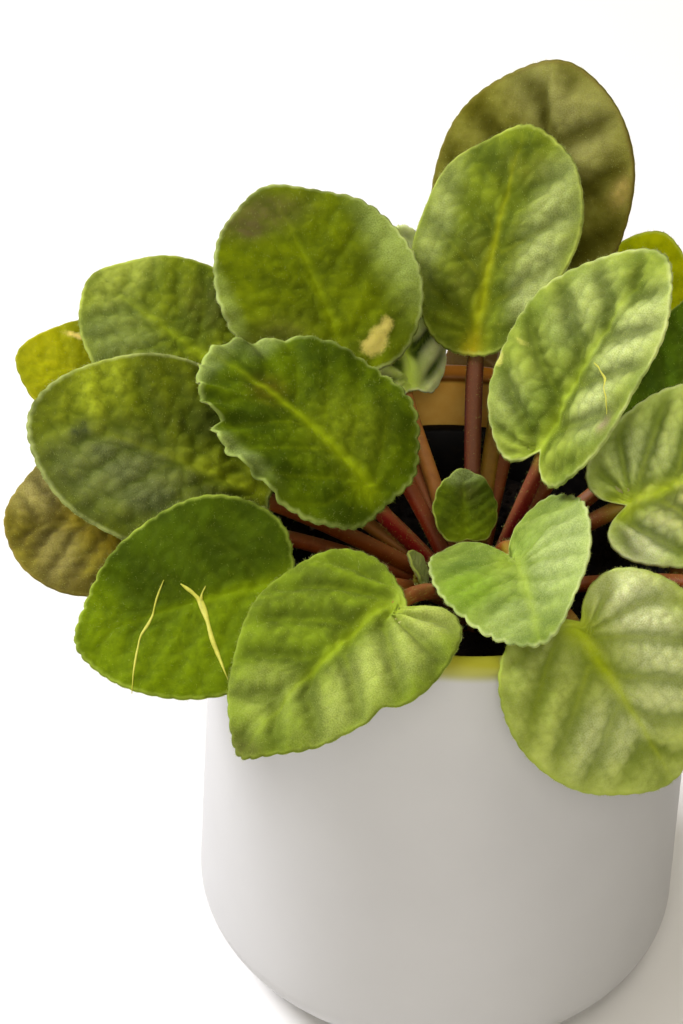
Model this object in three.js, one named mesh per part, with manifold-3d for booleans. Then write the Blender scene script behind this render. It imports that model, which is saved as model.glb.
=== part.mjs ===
// African violet in a white ceramic pot, in millimetres.
// +Z is up, the pot stands on Z = 0 with its axis on the Z axis, and -Y is the front.
import * as THREE from 'three';
import { mergeVertices } from 'three/addons/utils/BufferGeometryUtils.js';
import Module from 'manifold-3d';

const wasm = await Module();
wasm.setup();

// Ceramic pot: straight wall that leans in a little, soft rim, rounded foot
const potHeight = 146;
const potRadius = 65;
const potLean = 1.7;
const potWall = 7;
const footRise = 20;
const footCurve = 27;
const rimOuterRound = 3.6;
const rimInnerRound = 1;
const floorThickness = 8;
const potSides = 40;

// Plastic nursery pot that stands on the ceramic floor
const nurseryFoot = floorThickness + 0.3;
const nurseryTop = potHeight - 15.5;
const nurseryBaseRadius = 38;
const nurseryRimRadius = 53.2;
const nurseryWall = 1.5;
const nurseryLipRadius = 55;
const nurseryLipHeight = 4;
const nurseryLipEdge = 0.6;
const nurserySides = 32;
const drainHoles = 6;
const drainRadius = 5;
const drainCircle = 27;
const drainSides = 10;

// Soil, and the stem that stands in it
const fitGap = 0.3;
const soilTop = 119;
const soilLump = 1.1;
const soilEdgeSlack = 0.5;
const soilFootSlack = 0.7;
const soilRings = 4;
const soilSides = 32;
const crownAt = new THREE.Vector2(4, -8);
const stemRadius = 6.5;
const stemTop = 126;
const stemTopRound = 4;
const stemFoot = 100;
const stemFootRound = 2;
const stemSides = 12;
const stemHole = stemRadius + 2 * fitGap;
const stemHoleSides = 16;
const petioleStart = 122;

// Petioles: petioleTuck is how far each one reaches in under its blade
const petioleRadius = 2.2;
const petioleSides = 8;
const petioleSteps = 7;
const petioleTuck = 2;
const petioleArch = 0.36;
const petioleHook = 9;
const petioleStartPull = 0.35;
const petioleEndPull = 0.3;

// Blades: thick in the middle, thin at a crenate margin
const bladeMiddle = 1.7;
const bladeMargin = 0.8;
const bladeBase = 1.42;
const bladeRings = 3;
const bladeSectors = 36;
const toothDepth = 0.6;
const toothShare = 0.02;
const tipReach = 0.35;
const sinusReach = 0.36;
const sinusDepth = 0.9;
const veinSpacing = 0.17;
const veinLean = 0.75;
const baseVeinAngle = 35;
const puffGain = 1.4;
const marginWaves = 7;
const marginCalm = 0.5;
const youngest = 0.4;
const fullLength = 80;

// One entry for each blade. at is the point where the blade meets its petiole. azimuth and pitch aim the
// midrib, roll tips the blade about it, droop is the angle it bends down over its length, and sweep moves
// the tip sideways. cup lifts the sides, egg widens the base, lobe is the part behind the petiole as a
// share of the length, and point draws the tip out. quilt is the height of the puffs between the veins,
// and wave that of the wavy margin. hook is how far before the blade its petiole turns to the midrib.
const leaves = [
  { name: 'leaf_front', at: [-13, -56, 165], azimuth: 230, pitch: -4, roll: 1, length: 57, width: 50,
    droop: 21, cup: -0.03, egg: 0.25, lobe: 0.14, sweep: -3, point: 0.06, quilt: 1.1, wave: 0.8 },
  { name: 'leaf_front_left', at: [-40, -48, 159], azimuth: 196, pitch: -6, roll: 30, length: 55, width: 50,
    droop: 27, cup: 0.03, egg: 0.19, lobe: 0.08, sweep: -2, point: 0.03, quilt: 0.5, wave: 0.5 },
  { name: 'leaf_left_wide', at: [-49, -17, 160], azimuth: 175, pitch: 21, roll: 24, length: 62, width: 54,
    droop: 22, cup: 0, egg: 0.02, lobe: 0.12, sweep: 1, point: 0.03, quilt: 0.5, wave: 0.4 },
  { name: 'leaf_left_brown', at: [-70, -23, 156], azimuth: 188, pitch: -5, roll: 30, length: 46, width: 42,
    droop: 28, cup: 0.1, egg: 0.05, lobe: 0.1, sweep: 4, point: 0.03, quilt: 0.6, wave: 0.6 },
  { name: 'leaf_left_ochre', at: [-82, 20, 160], azimuth: 175, pitch: 16, roll: 24, length: 36, width: 32,
    droop: 26, cup: 0.02, egg: 0.09, lobe: 0.11, sweep: 2, point: 0.06, quilt: 0.4, wave: 0.4 },
  { name: 'leaf_left_back', at: [-58, 13, 170], azimuth: 152, pitch: 23, roll: 20, length: 51, width: 45,
    droop: 24, cup: 0, egg: 0.1, lobe: 0.12, sweep: 1, point: 0.03, quilt: 0.5, wave: 0.4 },
  { name: 'leaf_centre_wavy', at: [-19, -20, 162], azimuth: 151, pitch: 42, roll: 4, length: 57, width: 51,
    droop: 30, cup: 0.08, egg: 0.12, lobe: 0.05, sweep: -4, point: 0.03, quilt: 0.5, wave: 1.2 },
  { name: 'leaf_back_left', at: [-31, 19, 172], azimuth: 121, pitch: 43, roll: 11, length: 55, width: 51,
    droop: 27, cup: 0.01, egg: 0.06, lobe: 0.07, sweep: -3, point: 0.03, quilt: 0.5, wave: 0.6 },
  { name: 'leaf_back_grey', at: [-15, 35, 157], azimuth: 112, pitch: 53, roll: -30, length: 41, width: 33,
    droop: 5, cup: -0.09, egg: 0.11, lobe: 0.13, sweep: 7, point: 0.03, quilt: 0.6, wave: 0.4 },
  { name: 'leaf_back_upright', at: [-1, 30, 173], azimuth: 83, pitch: 45, roll: 20, length: 62, width: 46,
    droop: 17, cup: -0.05, egg: -0.1, lobe: 0.02, sweep: 1, point: 0.03, quilt: 0.8, wave: 0.5 },
  { name: 'leaf_back_tall', at: [8, 56, 163], azimuth: 78, pitch: 66, roll: 9, length: 70, width: 55,
    droop: 20, cup: 0.03, egg: -0.05, lobe: 0, sweep: 0, point: 0.03, quilt: 1.2, wave: 0.6, hook: 18 },
  { name: 'leaf_right_folded', at: [16, -8, 168], azimuth: 54, pitch: 61, roll: 14, length: 60, width: 45,
    droop: 25, cup: 0.12, egg: -0.02, lobe: 0.1, sweep: 2, point: 0.05, quilt: 1.2, wave: 0.5 },
  { name: 'leaf_right_yellow', at: [35, 44, 153], azimuth: 68, pitch: 43, roll: 8, length: 46, width: 38,
    droop: 13, cup: -0.04, egg: 0.15, lobe: 0.14, sweep: -3, point: 0.03, quilt: 0.4, wave: 0.4 },
  { name: 'leaf_right_back', at: [46, 17, 160], azimuth: 44, pitch: 43, roll: 4, length: 46, width: 39,
    droop: 10, cup: -0.05, egg: 0.06, lobe: 0.11, sweep: -6, point: 0.03, quilt: 0.8, wave: 0.6 },
  { name: 'leaf_right', at: [36, -11, 158], azimuth: 12, pitch: 24, roll: -30, length: 50, width: 47,
    droop: 21, cup: -0.02, egg: -0.07, lobe: 0.11, sweep: -4, point: 0.03, quilt: 1.2, wave: 0.6 },
  { name: 'leaf_right_front', at: [28, -52, 157], azimuth: 321, pitch: -35, roll: -28, length: 50, width: 56,
    droop: 35, cup: 0, egg: 0.09, lobe: 0.15, sweep: 0, point: 0.03, quilt: 1.3, wave: 0.5 },
  { name: 'leaf_right_low', at: [66, -34, 158], azimuth: 336, pitch: -7, roll: 0, length: 44, width: 35,
    droop: 26, cup: 0.03, egg: 0.1, lobe: 0.12, sweep: 2, point: 0.03, quilt: 0.9, wave: 0.6 },
  { name: 'leaf_back_low', at: [16, 70, 153], azimuth: 88, pitch: -65, roll: 3, length: 46, width: 46,
    droop: 24, cup: 0.03, egg: 0.1, lobe: 0.12, sweep: -2, point: 0.03, quilt: 0.8, wave: 0.6 },
  { name: 'leaf_back_left_low', at: [-34, 58, 158], azimuth: 124, pitch: -2, roll: -8, length: 48, width: 43,
    droop: 24, cup: 0.03, egg: 0.1, lobe: 0.12, sweep: 2, point: 0.03, quilt: 0.8, wave: 0.6 },
  { name: 'leaf_centre_young', at: [11, -19, 154], azimuth: 283, pitch: 19, roll: -22, length: 46, width: 41,
    droop: 21, cup: 0.21, egg: 0.14, lobe: 0.21, sweep: 4, point: 0.06, quilt: 0.8, wave: 0.6 },
  { name: 'leaf_centre_small', at: [2, -6, 141], azimuth: 103, pitch: 48, roll: -1, length: 18, width: 16,
    droop: 24, cup: 0, egg: 0.07, lobe: 0.11, sweep: 1, point: 0.03, quilt: 0.3, wave: 0.3 },
  { name: 'leaf_crown_tiny', at: [-7, -22, 138], azimuth: 180, pitch: 70, roll: 0, length: 11, width: 9,
    droop: 15, cup: 0.1, egg: 0.1, lobe: 0.04, sweep: 0, point: 0.03, quilt: 0.2, wave: 0.2 },
];

const ceramic = new THREE.MeshStandardMaterial({ color: 0xe9e6e0, roughness: 0.45, metalness: 0 });
const blackPlastic = new THREE.MeshStandardMaterial({ color: 0x1c1a18, roughness: 0.6, metalness: 0 });
const pottingSoil = new THREE.MeshStandardMaterial({ color: 0x241a12, roughness: 1, metalness: 0 });
const redStalk = new THREE.MeshStandardMaterial({ color: 0x7a3a22, roughness: 0.6, metalness: 0 });
const greenLeaf = new THREE.MeshStandardMaterial({ color: 0x6f8a2c, roughness: 0.7, metalness: 0 });

const toRadians = THREE.MathUtils.degToRad;

// A closed solid turned from a profile of [radius, height] points that starts and ends on the axis
function turned(profile, sides) {
  const points = profile.map(([radius, height]) => new THREE.Vector2(radius, height));
  return new THREE.LatheGeometry(points, sides).rotateX(Math.PI / 2);
}

// Turns a closed geometry into a solid for cutting and joining
function toSolid(geometry) {
  const bare = geometry.index ? geometry.clone() : geometry;
  bare.deleteAttribute('normal');
  bare.deleteAttribute('uv');
  const merged = mergeVertices(bare, 1e-4);
  const corners = merged.index.array;
  const faces = [];
  for (let i = 0; i < corners.length; i += 3) {
    const [a, b, c] = [corners[i], corners[i + 1], corners[i + 2]];
    if (a !== b && b !== c && c !== a) {
      faces.push(a, b, c);
    }
  }
  const vertProperties = new Float32Array(merged.attributes.position.array);
  return new wasm.Manifold(new wasm.Mesh({ numProp: 3, vertProperties, triVerts: new Uint32Array(faces) }));
}

// Turns a cut or joined solid back into a geometry
function toGeometry(solid) {
  const mesh = solid.getMesh();
  const geometry = new THREE.BufferGeometry();
  geometry.setAttribute('position', new THREE.BufferAttribute(mesh.vertProperties, 3));
  geometry.setIndex(new THREE.BufferAttribute(mesh.triVerts, 1));
  return geometry;
}

// Points of a round stretch of a profile, in [radius, height]
function arc(centreRadius, centreHeight, spanRadius, spanHeight, from, to, steps) {
  const points = [];
  for (let i = 0; i <= steps; i++) {
    const angle = toRadians(from + (to - from) * i / steps);
    points.push([centreRadius + spanRadius * Math.cos(angle), centreHeight + spanHeight * Math.sin(angle)]);
  }
  return points;
}

function ceramicPot() {
  const rimRadius = potRadius - potLean;
  const footAngle = THREE.MathUtils.radToDeg(Math.asin(footRise / footCurve));
  const innerRadius = potRadius - potWall;
  const innerRim = rimRadius - potWall;
  return turned([
    [0, 0],
    ...arc(0, footRise, potRadius, footCurve, -footAngle, 0, 5),
    ...arc(rimRadius - rimOuterRound, potHeight - rimOuterRound, rimOuterRound, rimOuterRound, 0, 90, 4),
    [innerRim + rimInnerRound, potHeight],
    [innerRim, potHeight - rimInnerRound],
    ...arc(innerRadius - footRise, floorThickness + footRise, footRise, footRise, 0, -90, 4),
    [0, floorThickness],
  ], potSides);
}

// Radius of the nursery pot's outside at a height
function nurseryRadius(height) {
  const share = (height - nurseryFoot) / (nurseryTop - nurseryFoot);
  return nurseryBaseRadius + (nurseryRimRadius - nurseryBaseRadius) * share;
}

function nurseryPot() {
  const lipFoot = nurseryTop - nurseryLipHeight;
  const inside = nurseryFoot + nurseryWall;
  const shell = turned([
    [0, nurseryFoot],
    [nurseryBaseRadius, nurseryFoot],
    [nurseryRadius(lipFoot), lipFoot],
    [nurseryLipRadius, lipFoot],
    [nurseryLipRadius, nurseryTop - nurseryLipEdge],
    [nurseryLipRadius - nurseryLipEdge, nurseryTop],
    [nurseryRadius(nurseryTop) - nurseryWall, nurseryTop],
    [nurseryRadius(inside) - nurseryWall, inside],
    [0, inside],
  ], nurserySides);
  let pot = toSolid(shell);
  for (let i = 0; i < drainHoles; i++) {
    const angle = 2 * Math.PI * (i + 0.5) / drainHoles;
    const [x, y] = [drainCircle * Math.cos(angle), drainCircle * Math.sin(angle)];
    const hole = new THREE.CylinderGeometry(drainRadius, drainRadius, 3 * nurseryWall, drainSides);
    hole.rotateX(Math.PI / 2).translate(x, y, nurseryFoot + nurseryWall / 2);
    pot = pot.subtract(toSolid(hole));
  }
  return toGeometry(pot);
}

// Lumps of the soil's surface
function soilHeight(x, y) {
  const coarse = Math.sin(0.31 * x + 0.6) * Math.cos(0.27 * y);
  const fine = 0.5 * Math.sin(0.83 * x - 0.5 * y) * Math.cos(0.71 * y + 0.4 * x);
  return soilTop + soilLump * (coarse + fine);
}

function soil() {
  const low = nurseryFoot + nurseryWall + fitGap;
  const topRadius = nurseryRadius(soilTop) - nurseryWall - soilEdgeSlack;
  const lowRadius = nurseryRadius(low) - nurseryWall - soilFootSlack;
  const points = [[0, 0, soilHeight(0, 0)]];
  const faces = [];
  const around = (ring, i) => 1 + ring * soilSides + i % soilSides;
  for (let ring = 1; ring <= soilRings; ring++) {
    for (let i = 0; i < soilSides; i++) {
      const angle = 2 * Math.PI * i / soilSides;
      const x = topRadius * ring / soilRings * Math.cos(angle);
      const y = topRadius * ring / soilRings * Math.sin(angle);
      points.push([x, y, soilHeight(x, y)]);
    }
  }
  for (let i = 0; i < soilSides; i++) {
    const angle = 2 * Math.PI * i / soilSides;
    points.push([lowRadius * Math.cos(angle), lowRadius * Math.sin(angle), low]);
  }
  points.push([0, 0, low]);
  for (let i = 0; i < soilSides; i++) {
    faces.push([0, around(0, i), around(0, i + 1)]);
    for (let ring = 0; ring < soilRings; ring++) {
      faces.push([around(ring, i), around(ring + 1, i), around(ring + 1, i + 1)]);
      faces.push([around(ring, i), around(ring + 1, i + 1), around(ring, i + 1)]);
    }
    faces.push([points.length - 1, around(soilRings, i + 1), around(soilRings, i)]);
  }
  const holeDepth = 40;
  const hole = new THREE.CylinderGeometry(stemHole, stemHole, holeDepth, stemHoleSides);
  hole.rotateX(Math.PI / 2).translate(crownAt.x, crownAt.y, stemFoot - fitGap + holeDepth / 2);
  return toGeometry(toSolid(meshOf(points, faces)).subtract(toSolid(hole)));
}

// A geometry from corner points and triangles
function meshOf(points, faces) {
  const geometry = new THREE.BufferGeometry();
  geometry.setAttribute('position', new THREE.Float32BufferAttribute(points.flat(), 3));
  geometry.setIndex(faces.flat());
  return geometry;
}

// The blade's own directions: across, along the midrib, and out of the upper face
function bladeAxes(leaf) {
  const azimuth = toRadians(leaf.azimuth);
  const pitch = toRadians(leaf.pitch);
  const roll = toRadians(leaf.roll);
  const along = new THREE.Vector3(
    Math.cos(pitch) * Math.cos(azimuth), Math.cos(pitch) * Math.sin(azimuth), Math.sin(pitch));
  const level = new THREE.Vector3(Math.sin(azimuth), -Math.cos(azimuth), 0);
  const upright = new THREE.Vector3().crossVectors(level, along);
  const across = level.clone().multiplyScalar(Math.cos(roll)).addScaledVector(upright, Math.sin(roll));
  const out = level.clone().multiplyScalar(-Math.sin(roll)).addScaledVector(upright, Math.cos(roll));
  return { across, along, out };
}

// Where a point of the flat blade lies once the blade droops: x across, y along, lift above the surface
function bladePoint(leaf, axes, x, y, lift) {
  const bend = toRadians(leaf.droop) / leaf.length;
  const run = Math.max(y, 0);
  const turn = bend * run;
  const shift = x + leaf.sweep * (run / leaf.length) ** 2;
  const forward = (y > 0 ? Math.sin(turn) / bend : y) + lift * Math.sin(turn);
  const up = (y > 0 ? (Math.cos(turn) - 1) / bend : 0) + lift * Math.cos(turn);
  return new THREE.Vector3(...leaf.at)
    .addScaledVector(axes.across, shift)
    .addScaledVector(axes.along, forward)
    .addScaledVector(axes.out, up);
}

// The blade's edge, as steps from its middle, at a turn from the tip: an egg shape with a point and a sinus
function bladeEdge(leaf, turn, tooth) {
  const span = leaf.length * (1 + leaf.lobe) / 2;
  const point = leaf.point * leaf.length * Math.exp(-((turn / tipReach) ** 2));
  const fromSinus = (Math.PI - Math.abs(turn)) / sinusReach;
  const sinus = sinusDepth * leaf.lobe * leaf.length * Math.exp(-(fromSinus ** 2));
  const stretch = 1 + 2 * tooth / leaf.width;
  const x = leaf.width / 2 * Math.sin(turn) * (1 - leaf.egg * Math.cos(turn)) * stretch;
  const y = span * Math.cos(turn) * stretch + point + sinus;
  return [x, y];
}

// Height of the upper face: cupped sides, puffs between the side veins, and a wavy margin that is calm
// over the petiole. The azimuth only sets where each blade's waves begin.
function bladeLift(leaf, x, y, reach, turn) {
  const side = 2 * Math.abs(x) / leaf.width;
  const ahead = y - veinLean * Math.abs(x);
  const behind = Math.atan2(Math.abs(x), y) - Math.atan2(1, veinLean);
  const vein = ahead > 0 ? ahead / (veinSpacing * leaf.length) : -behind / toRadians(baseVeinAngle);
  const puff = Math.abs(Math.sin(Math.PI * vein)) - 0.5;
  const cup = leaf.cup * side ** 2 * leaf.width / 2;
  const seated = 1 - Math.exp(-(((Math.PI - Math.abs(turn)) / marginCalm) ** 2));
  const margin = leaf.wave * seated * reach ** 3 * Math.sin(marginWaves * turn + leaf.azimuth);
  return cup + puffGain * leaf.quilt * puff * reach * (1 - reach ** 6) + margin;
}

// Young blades are thinner, and so are their petioles
function sturdiness(leaf) {
  return Math.min(1, youngest + leaf.length / fullLength);
}

function blade(leaf) {
  const axes = bladeAxes(leaf);
  const thick = bladeMiddle * sturdiness(leaf);
  const middle = leaf.length * (1 - leaf.lobe) / 2;
  const upper = [bladePoint(leaf, axes, 0, middle, 0)];
  const lower = [bladePoint(leaf, axes, 0, middle, -thick)];
  const tooth = Math.min(toothDepth, toothShare * leaf.width);
  for (let ring = 1; ring <= bladeRings; ring++) {
    const reach = ring / bladeRings;
    for (let i = 0; i < bladeSectors; i++) {
      const turn = 2 * Math.PI * i / bladeSectors - Math.PI;
      const [edgeX, edgeY] = bladeEdge(leaf, turn, i % 2 ? tooth : 0);
      const x = edgeX * reach;
      const y = middle + edgeY * reach;
      const lift = bladeLift(leaf, x, y, reach, turn);
      const thickness = thick + (Math.min(bladeMargin, thick) - thick) * reach ** 2;
      upper.push(bladePoint(leaf, axes, x, y, lift));
      lower.push(bladePoint(leaf, axes, x, y, lift - thickness));
    }
  }
  return closedSheet(upper, lower);
}

// Closes an upper and a lower sheet of rings into one solid, split alike on both faces
function closedSheet(upper, lower) {
  const faces = [];
  const below = upper.length;
  const around = (ring, i) => 1 + ring * bladeSectors + i % bladeSectors;
  const bothSides = (a, b, c) => {
    faces.push([a, b, c]);
    faces.push([below + a, below + c, below + b]);
  };
  for (let i = 0; i < bladeSectors; i++) {
    bothSides(0, around(0, i + 1), around(0, i));
    for (let ring = 0; ring < bladeRings - 1; ring++) {
      bothSides(around(ring, i), around(ring, i + 1), around(ring + 1, i + 1));
      bothSides(around(ring, i), around(ring + 1, i + 1), around(ring + 1, i));
    }
    const [here, next] = [around(bladeRings - 1, i), around(bladeRings - 1, i + 1)];
    faces.push([here, next, below + next]);
    faces.push([here, below + next, below + here]);
  }
  return meshOf([...upper, ...lower].map((point) => point.toArray()), faces);
}

// The petiole's path: out of the stem, up in an arc, and in under the blade along its midrib
function petiolePath(leaf) {
  const axes = bladeAxes(leaf);
  const sink = -(bladeBase + petioleRadius) * sturdiness(leaf) - fitGap;
  const end = bladePoint(leaf, axes, 0, petioleTuck, sink);
  const away = new THREE.Vector3(end.x - crownAt.x, end.y - crownAt.y, 0).normalize();
  const start = new THREE.Vector3(crownAt.x, crownAt.y, petioleStart).addScaledVector(away, stemRadius / 2);
  const length = start.distanceTo(end);
  const rise = end.clone().sub(start).normalize();
  const leaving = rise.clone().add(new THREE.Vector3(0, 0, petioleArch)).normalize();
  const hook = Math.min(leaf.hook ?? petioleHook, petioleEndPull * length);
  const first = start.clone().addScaledVector(leaving, petioleStartPull * length);
  const last = end.clone().addScaledVector(axes.along, -hook);
  return new THREE.CubicBezierCurve3(start, first, last, end);
}

function petiole(leaf) {
  const radius = petioleRadius * sturdiness(leaf);
  const corners = [];
  for (let i = 0; i < petioleSides; i++) {
    const angle = 2 * Math.PI * i / petioleSides;
    corners.push(new THREE.Vector2(Math.cos(angle), Math.sin(angle)).multiplyScalar(radius));
  }
  return new THREE.ExtrudeGeometry(new THREE.Shape(corners), {
    steps: petioleSteps,
    bevelEnabled: false,
    extrudePath: petiolePath(leaf),
  });
}

// The short stem with every petiole grown out of it
function crown() {
  const stem = turned([
    [0, stemFoot],
    [stemRadius - stemFootRound, stemFoot],
    [stemRadius, stemFoot + stemFootRound],
    ...arc(0, stemTop - stemTopRound, stemRadius, stemTopRound, 0, 90, 3),
  ], stemSides).translate(crownAt.x, crownAt.y, 0);
  let solid = toSolid(stem);
  for (const leaf of leaves) {
    solid = solid.add(toSolid(petiole(leaf)));
  }
  return toGeometry(solid);
}

function addPart(group, name, geometry, material) {
  const mesh = new THREE.Mesh(geometry, material);
  mesh.name = name;
  group.add(mesh);
}

const group = new THREE.Group();
addPart(group, 'pot', ceramicPot(), ceramic);
addPart(group, 'nursery_pot', nurseryPot(), blackPlastic);
addPart(group, 'soil', soil(), pottingSoil);
addPart(group, 'crown', crown(), redStalk);
for (const leaf of leaves) {
  addPart(group, leaf.name, blade(leaf), greenLeaf);
}

export default group;
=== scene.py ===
import math

import bpy
import numpy as np
from mathutils import Matrix, Vector


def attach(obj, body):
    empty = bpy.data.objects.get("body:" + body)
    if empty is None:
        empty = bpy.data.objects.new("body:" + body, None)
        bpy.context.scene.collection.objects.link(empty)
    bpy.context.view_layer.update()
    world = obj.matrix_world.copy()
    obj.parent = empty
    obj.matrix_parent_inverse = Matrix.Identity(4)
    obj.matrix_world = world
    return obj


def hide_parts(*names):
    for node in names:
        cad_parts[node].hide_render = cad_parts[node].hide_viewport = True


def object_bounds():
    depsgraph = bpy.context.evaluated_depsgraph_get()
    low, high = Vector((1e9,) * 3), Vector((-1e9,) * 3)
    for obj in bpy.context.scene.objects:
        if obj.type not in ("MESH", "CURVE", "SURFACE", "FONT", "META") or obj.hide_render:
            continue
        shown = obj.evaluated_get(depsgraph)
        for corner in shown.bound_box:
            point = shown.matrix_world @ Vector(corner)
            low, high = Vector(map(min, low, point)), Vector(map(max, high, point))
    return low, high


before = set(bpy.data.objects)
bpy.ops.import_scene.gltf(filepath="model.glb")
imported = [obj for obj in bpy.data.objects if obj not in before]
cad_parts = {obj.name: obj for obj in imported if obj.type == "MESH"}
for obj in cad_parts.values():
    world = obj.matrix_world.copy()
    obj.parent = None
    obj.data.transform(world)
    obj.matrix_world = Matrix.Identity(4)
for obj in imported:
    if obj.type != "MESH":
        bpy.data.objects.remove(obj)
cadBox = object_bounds()
mm = 0.001
rng = np.random.default_rng(7)

# settings that many shader nodes share
smooth = {"interpolation_type": "SMOOTHSTEP"}
rgba = {"data_type": "RGBA"}
times = {"operation": "MULTIPLY"}
timesAdd = {"operation": "MULTIPLY_ADD"}


# colours and shader nodes

def toLinear(hexCode):
    channels = [int(hexCode[i:i + 2], 16) / 255 for i in (1, 3, 5)]
    return [c / 12.92 if c <= 0.04045 else ((c + 0.055) / 1.055) ** 2.4 for c in channels] + [1.0]


def addNode(tree, kind, inputs=None, **settings):
    # an input takes a number, a hex colour, a socket, or a node, which stands for its first output in use
    node = tree.nodes.new("ShaderNode" + kind)
    for key, value in settings.items():
        setattr(node, key, value)
    for key, value in (inputs or {}).items():
        if isinstance(value, bpy.types.Node):
            value = next(socket for socket in value.outputs if socket.enabled)
        if isinstance(value, bpy.types.NodeSocket):
            tree.links.new(value, node.inputs[key])
        else:
            node.inputs[key].default_value = toLinear(value) if isinstance(value, str) else value
    return node


def startMaterial(name):
    # an empty material, its node tree, and the object's own place in millimetres
    material = bpy.data.materials.new(name)
    material.use_nodes = True
    tree = material.node_tree
    tree.nodes.clear()
    place = addNode(tree, "TexCoord").outputs["Object"]
    return material, tree, addNode(tree, "VectorMath", {0: place, "Scale": 1 / mm}, operation="SCALE")


def finishMaterial(tree, inputs):
    shader = addNode(tree, "BsdfPrincipled", inputs)
    addNode(tree, "OutputMaterial", {"Surface": shader})


def mottledMaterial(name, wide, colours, inputs):
    # two colours that drift into each other, in patches as wide as given in millimetres
    material, tree, place = startMaterial(name)
    patches = addNode(tree, "TexNoise", {"Vector": place, "Scale": 1 / wide, "Detail": 2})
    colour = addNode(tree, "Mix", {0: patches, 6: colours[0], 7: colours[1]}, **rgba)
    finishMaterial(tree, {"Base Color": colour, **inputs})
    return material


# meshes

def newPiece(name, points, faceGroups, materials, attributes=None):
    # points in millimetres; faceGroups are (faces, material number); attributes are point values by name
    mesh = bpy.data.meshes.new(name)
    loops = np.concatenate([faces.ravel() for faces, _ in faceGroups])
    sizes = np.concatenate([np.full(len(faces), faces.shape[1]) for faces, _ in faceGroups])
    numbers = np.concatenate([np.full(len(faces), number) for faces, number in faceGroups])
    mesh.vertices.add(len(points))
    mesh.vertices.foreach_set("co", (np.asarray(points) * mm).ravel())
    mesh.loops.add(len(loops))
    mesh.loops.foreach_set("vertex_index", loops)
    mesh.polygons.add(len(sizes))
    mesh.polygons.foreach_set("loop_start", np.concatenate([[0], np.cumsum(sizes)[:-1]]))
    mesh.polygons.foreach_set("material_index", numbers)
    for key, values in (attributes or {}).items():
        layer = mesh.attributes.new(key, "FLOAT_VECTOR", "POINT")
        layer.data.foreach_set("vector", values.astype(np.float32).ravel())
    mesh.update(calc_edges=True)
    mesh.validate()
    mesh.shade_smooth()
    for material in materials:
        mesh.materials.append(material)
    piece = bpy.data.objects.new(name, mesh)
    bpy.context.scene.collection.objects.link(piece)
    return piece


def anglesRound(sides):
    return 2 * np.pi * np.arange(sides) / sides


def unitRows(rows):
    return rows / np.linalg.norm(rows, axis=1, keepdims=True)


def ringPoints(angles, radius, height, centre=(0, 0)):
    # points round an upright axis, in rows where radius or height is a column
    height = height * np.ones(len(angles))
    return np.stack([centre[0] + radius * np.cos(angles), centre[1] + radius * np.sin(angles), height], -1)


def hump(away, wide, power=2):
    # a smooth bump: 1 in the middle, about a third at wide and 0 far out
    return np.exp(-np.abs(away / wide) ** power)


def latheFaces(rings, sides):
    # quads between rings of sides points, each ring closed on itself
    ring, i = np.meshgrid(np.arange(rings - 1), np.arange(sides), indexing="ij")
    here, after = ring * sides + i, ring * sides + (i + 1) % sides
    return np.stack([here, after, after + sides, here + sides], -1).reshape(-1, 4)


def capFaces(centre, first, sides, flip=False):
    # a fan from a centre point to a ring
    i = np.arange(sides)
    here, after = first + i, first + (i + 1) % sides
    if flip:
        here, after = after, here
    return np.stack([np.full(sides, centre), after, here], -1)


def addHairs(roots, directions, lengths, firstPoint):
    # each hair is a closed three-sided spike sunk a little into the surface; none leaves the CAD box
    radius = hairSize["radius"]
    low, high = (np.array(corner) / mm for corner in cadBox)
    tips = roots + directions * lengths[:, None]
    inside = np.all((tips > low + radius) & (tips < high - radius), axis=1)
    roots, directions, tips = roots[inside], directions[inside], tips[inside]
    helper = np.where(np.abs(directions[:, 2:3]) < 0.9, [[0, 0, 1.0]], [[1.0, 0, 0]])
    side = unitRows(np.cross(directions, helper))
    other = np.cross(directions, side)
    points = np.empty((len(roots), 4, 3))
    for i, angle in enumerate(anglesRound(3)):
        around = side * math.cos(angle) + other * math.sin(angle)
        points[:, i] = roots + radius * around - hairSize["sunk"] * directions
    points[:, 3] = tips
    first = firstPoint + 4 * np.arange(len(roots))[:, None]
    faces = [[0, 1, 3], [1, 2, 3], [2, 0, 3], [2, 1, 0]]
    return points.reshape(-1, 3), np.concatenate([first + np.array(face) for face in faces])


# the ceramic pot; the painted light inside runs out from the inner rim, and the painted rim shade and painted
# leaf-green light run down from the top, in millimetres

potSize = {"height": 146, "radius": 65, "lean": 1.7, "wall": 7, "footRise": 20, "footCurve": 27, "floor": 8,
           "rimOuterRound": 3.6, "rimInnerRound": 2.2, "footFlat": 2.2, "uneven": 0.06, "sides": 192}
potLook = {"glaze": "#bdbdbd", "cloud": "#c4c4c4", "pit": "#a9a59d", "paintedLeafLight": "#ffd16c",
           "paintedLeafLightDim": "#efb24e", "rimShade": "#6f4206", "leafGlow": "#a2a22e",
           "paintedLightOut": 4.6, "paintedLightFade": 2, "rimShadeLow": 3, "rimShadeHigh": 1.6, "leafGlowLow": 4.4, "leafGlowHigh": 1.2}


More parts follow.
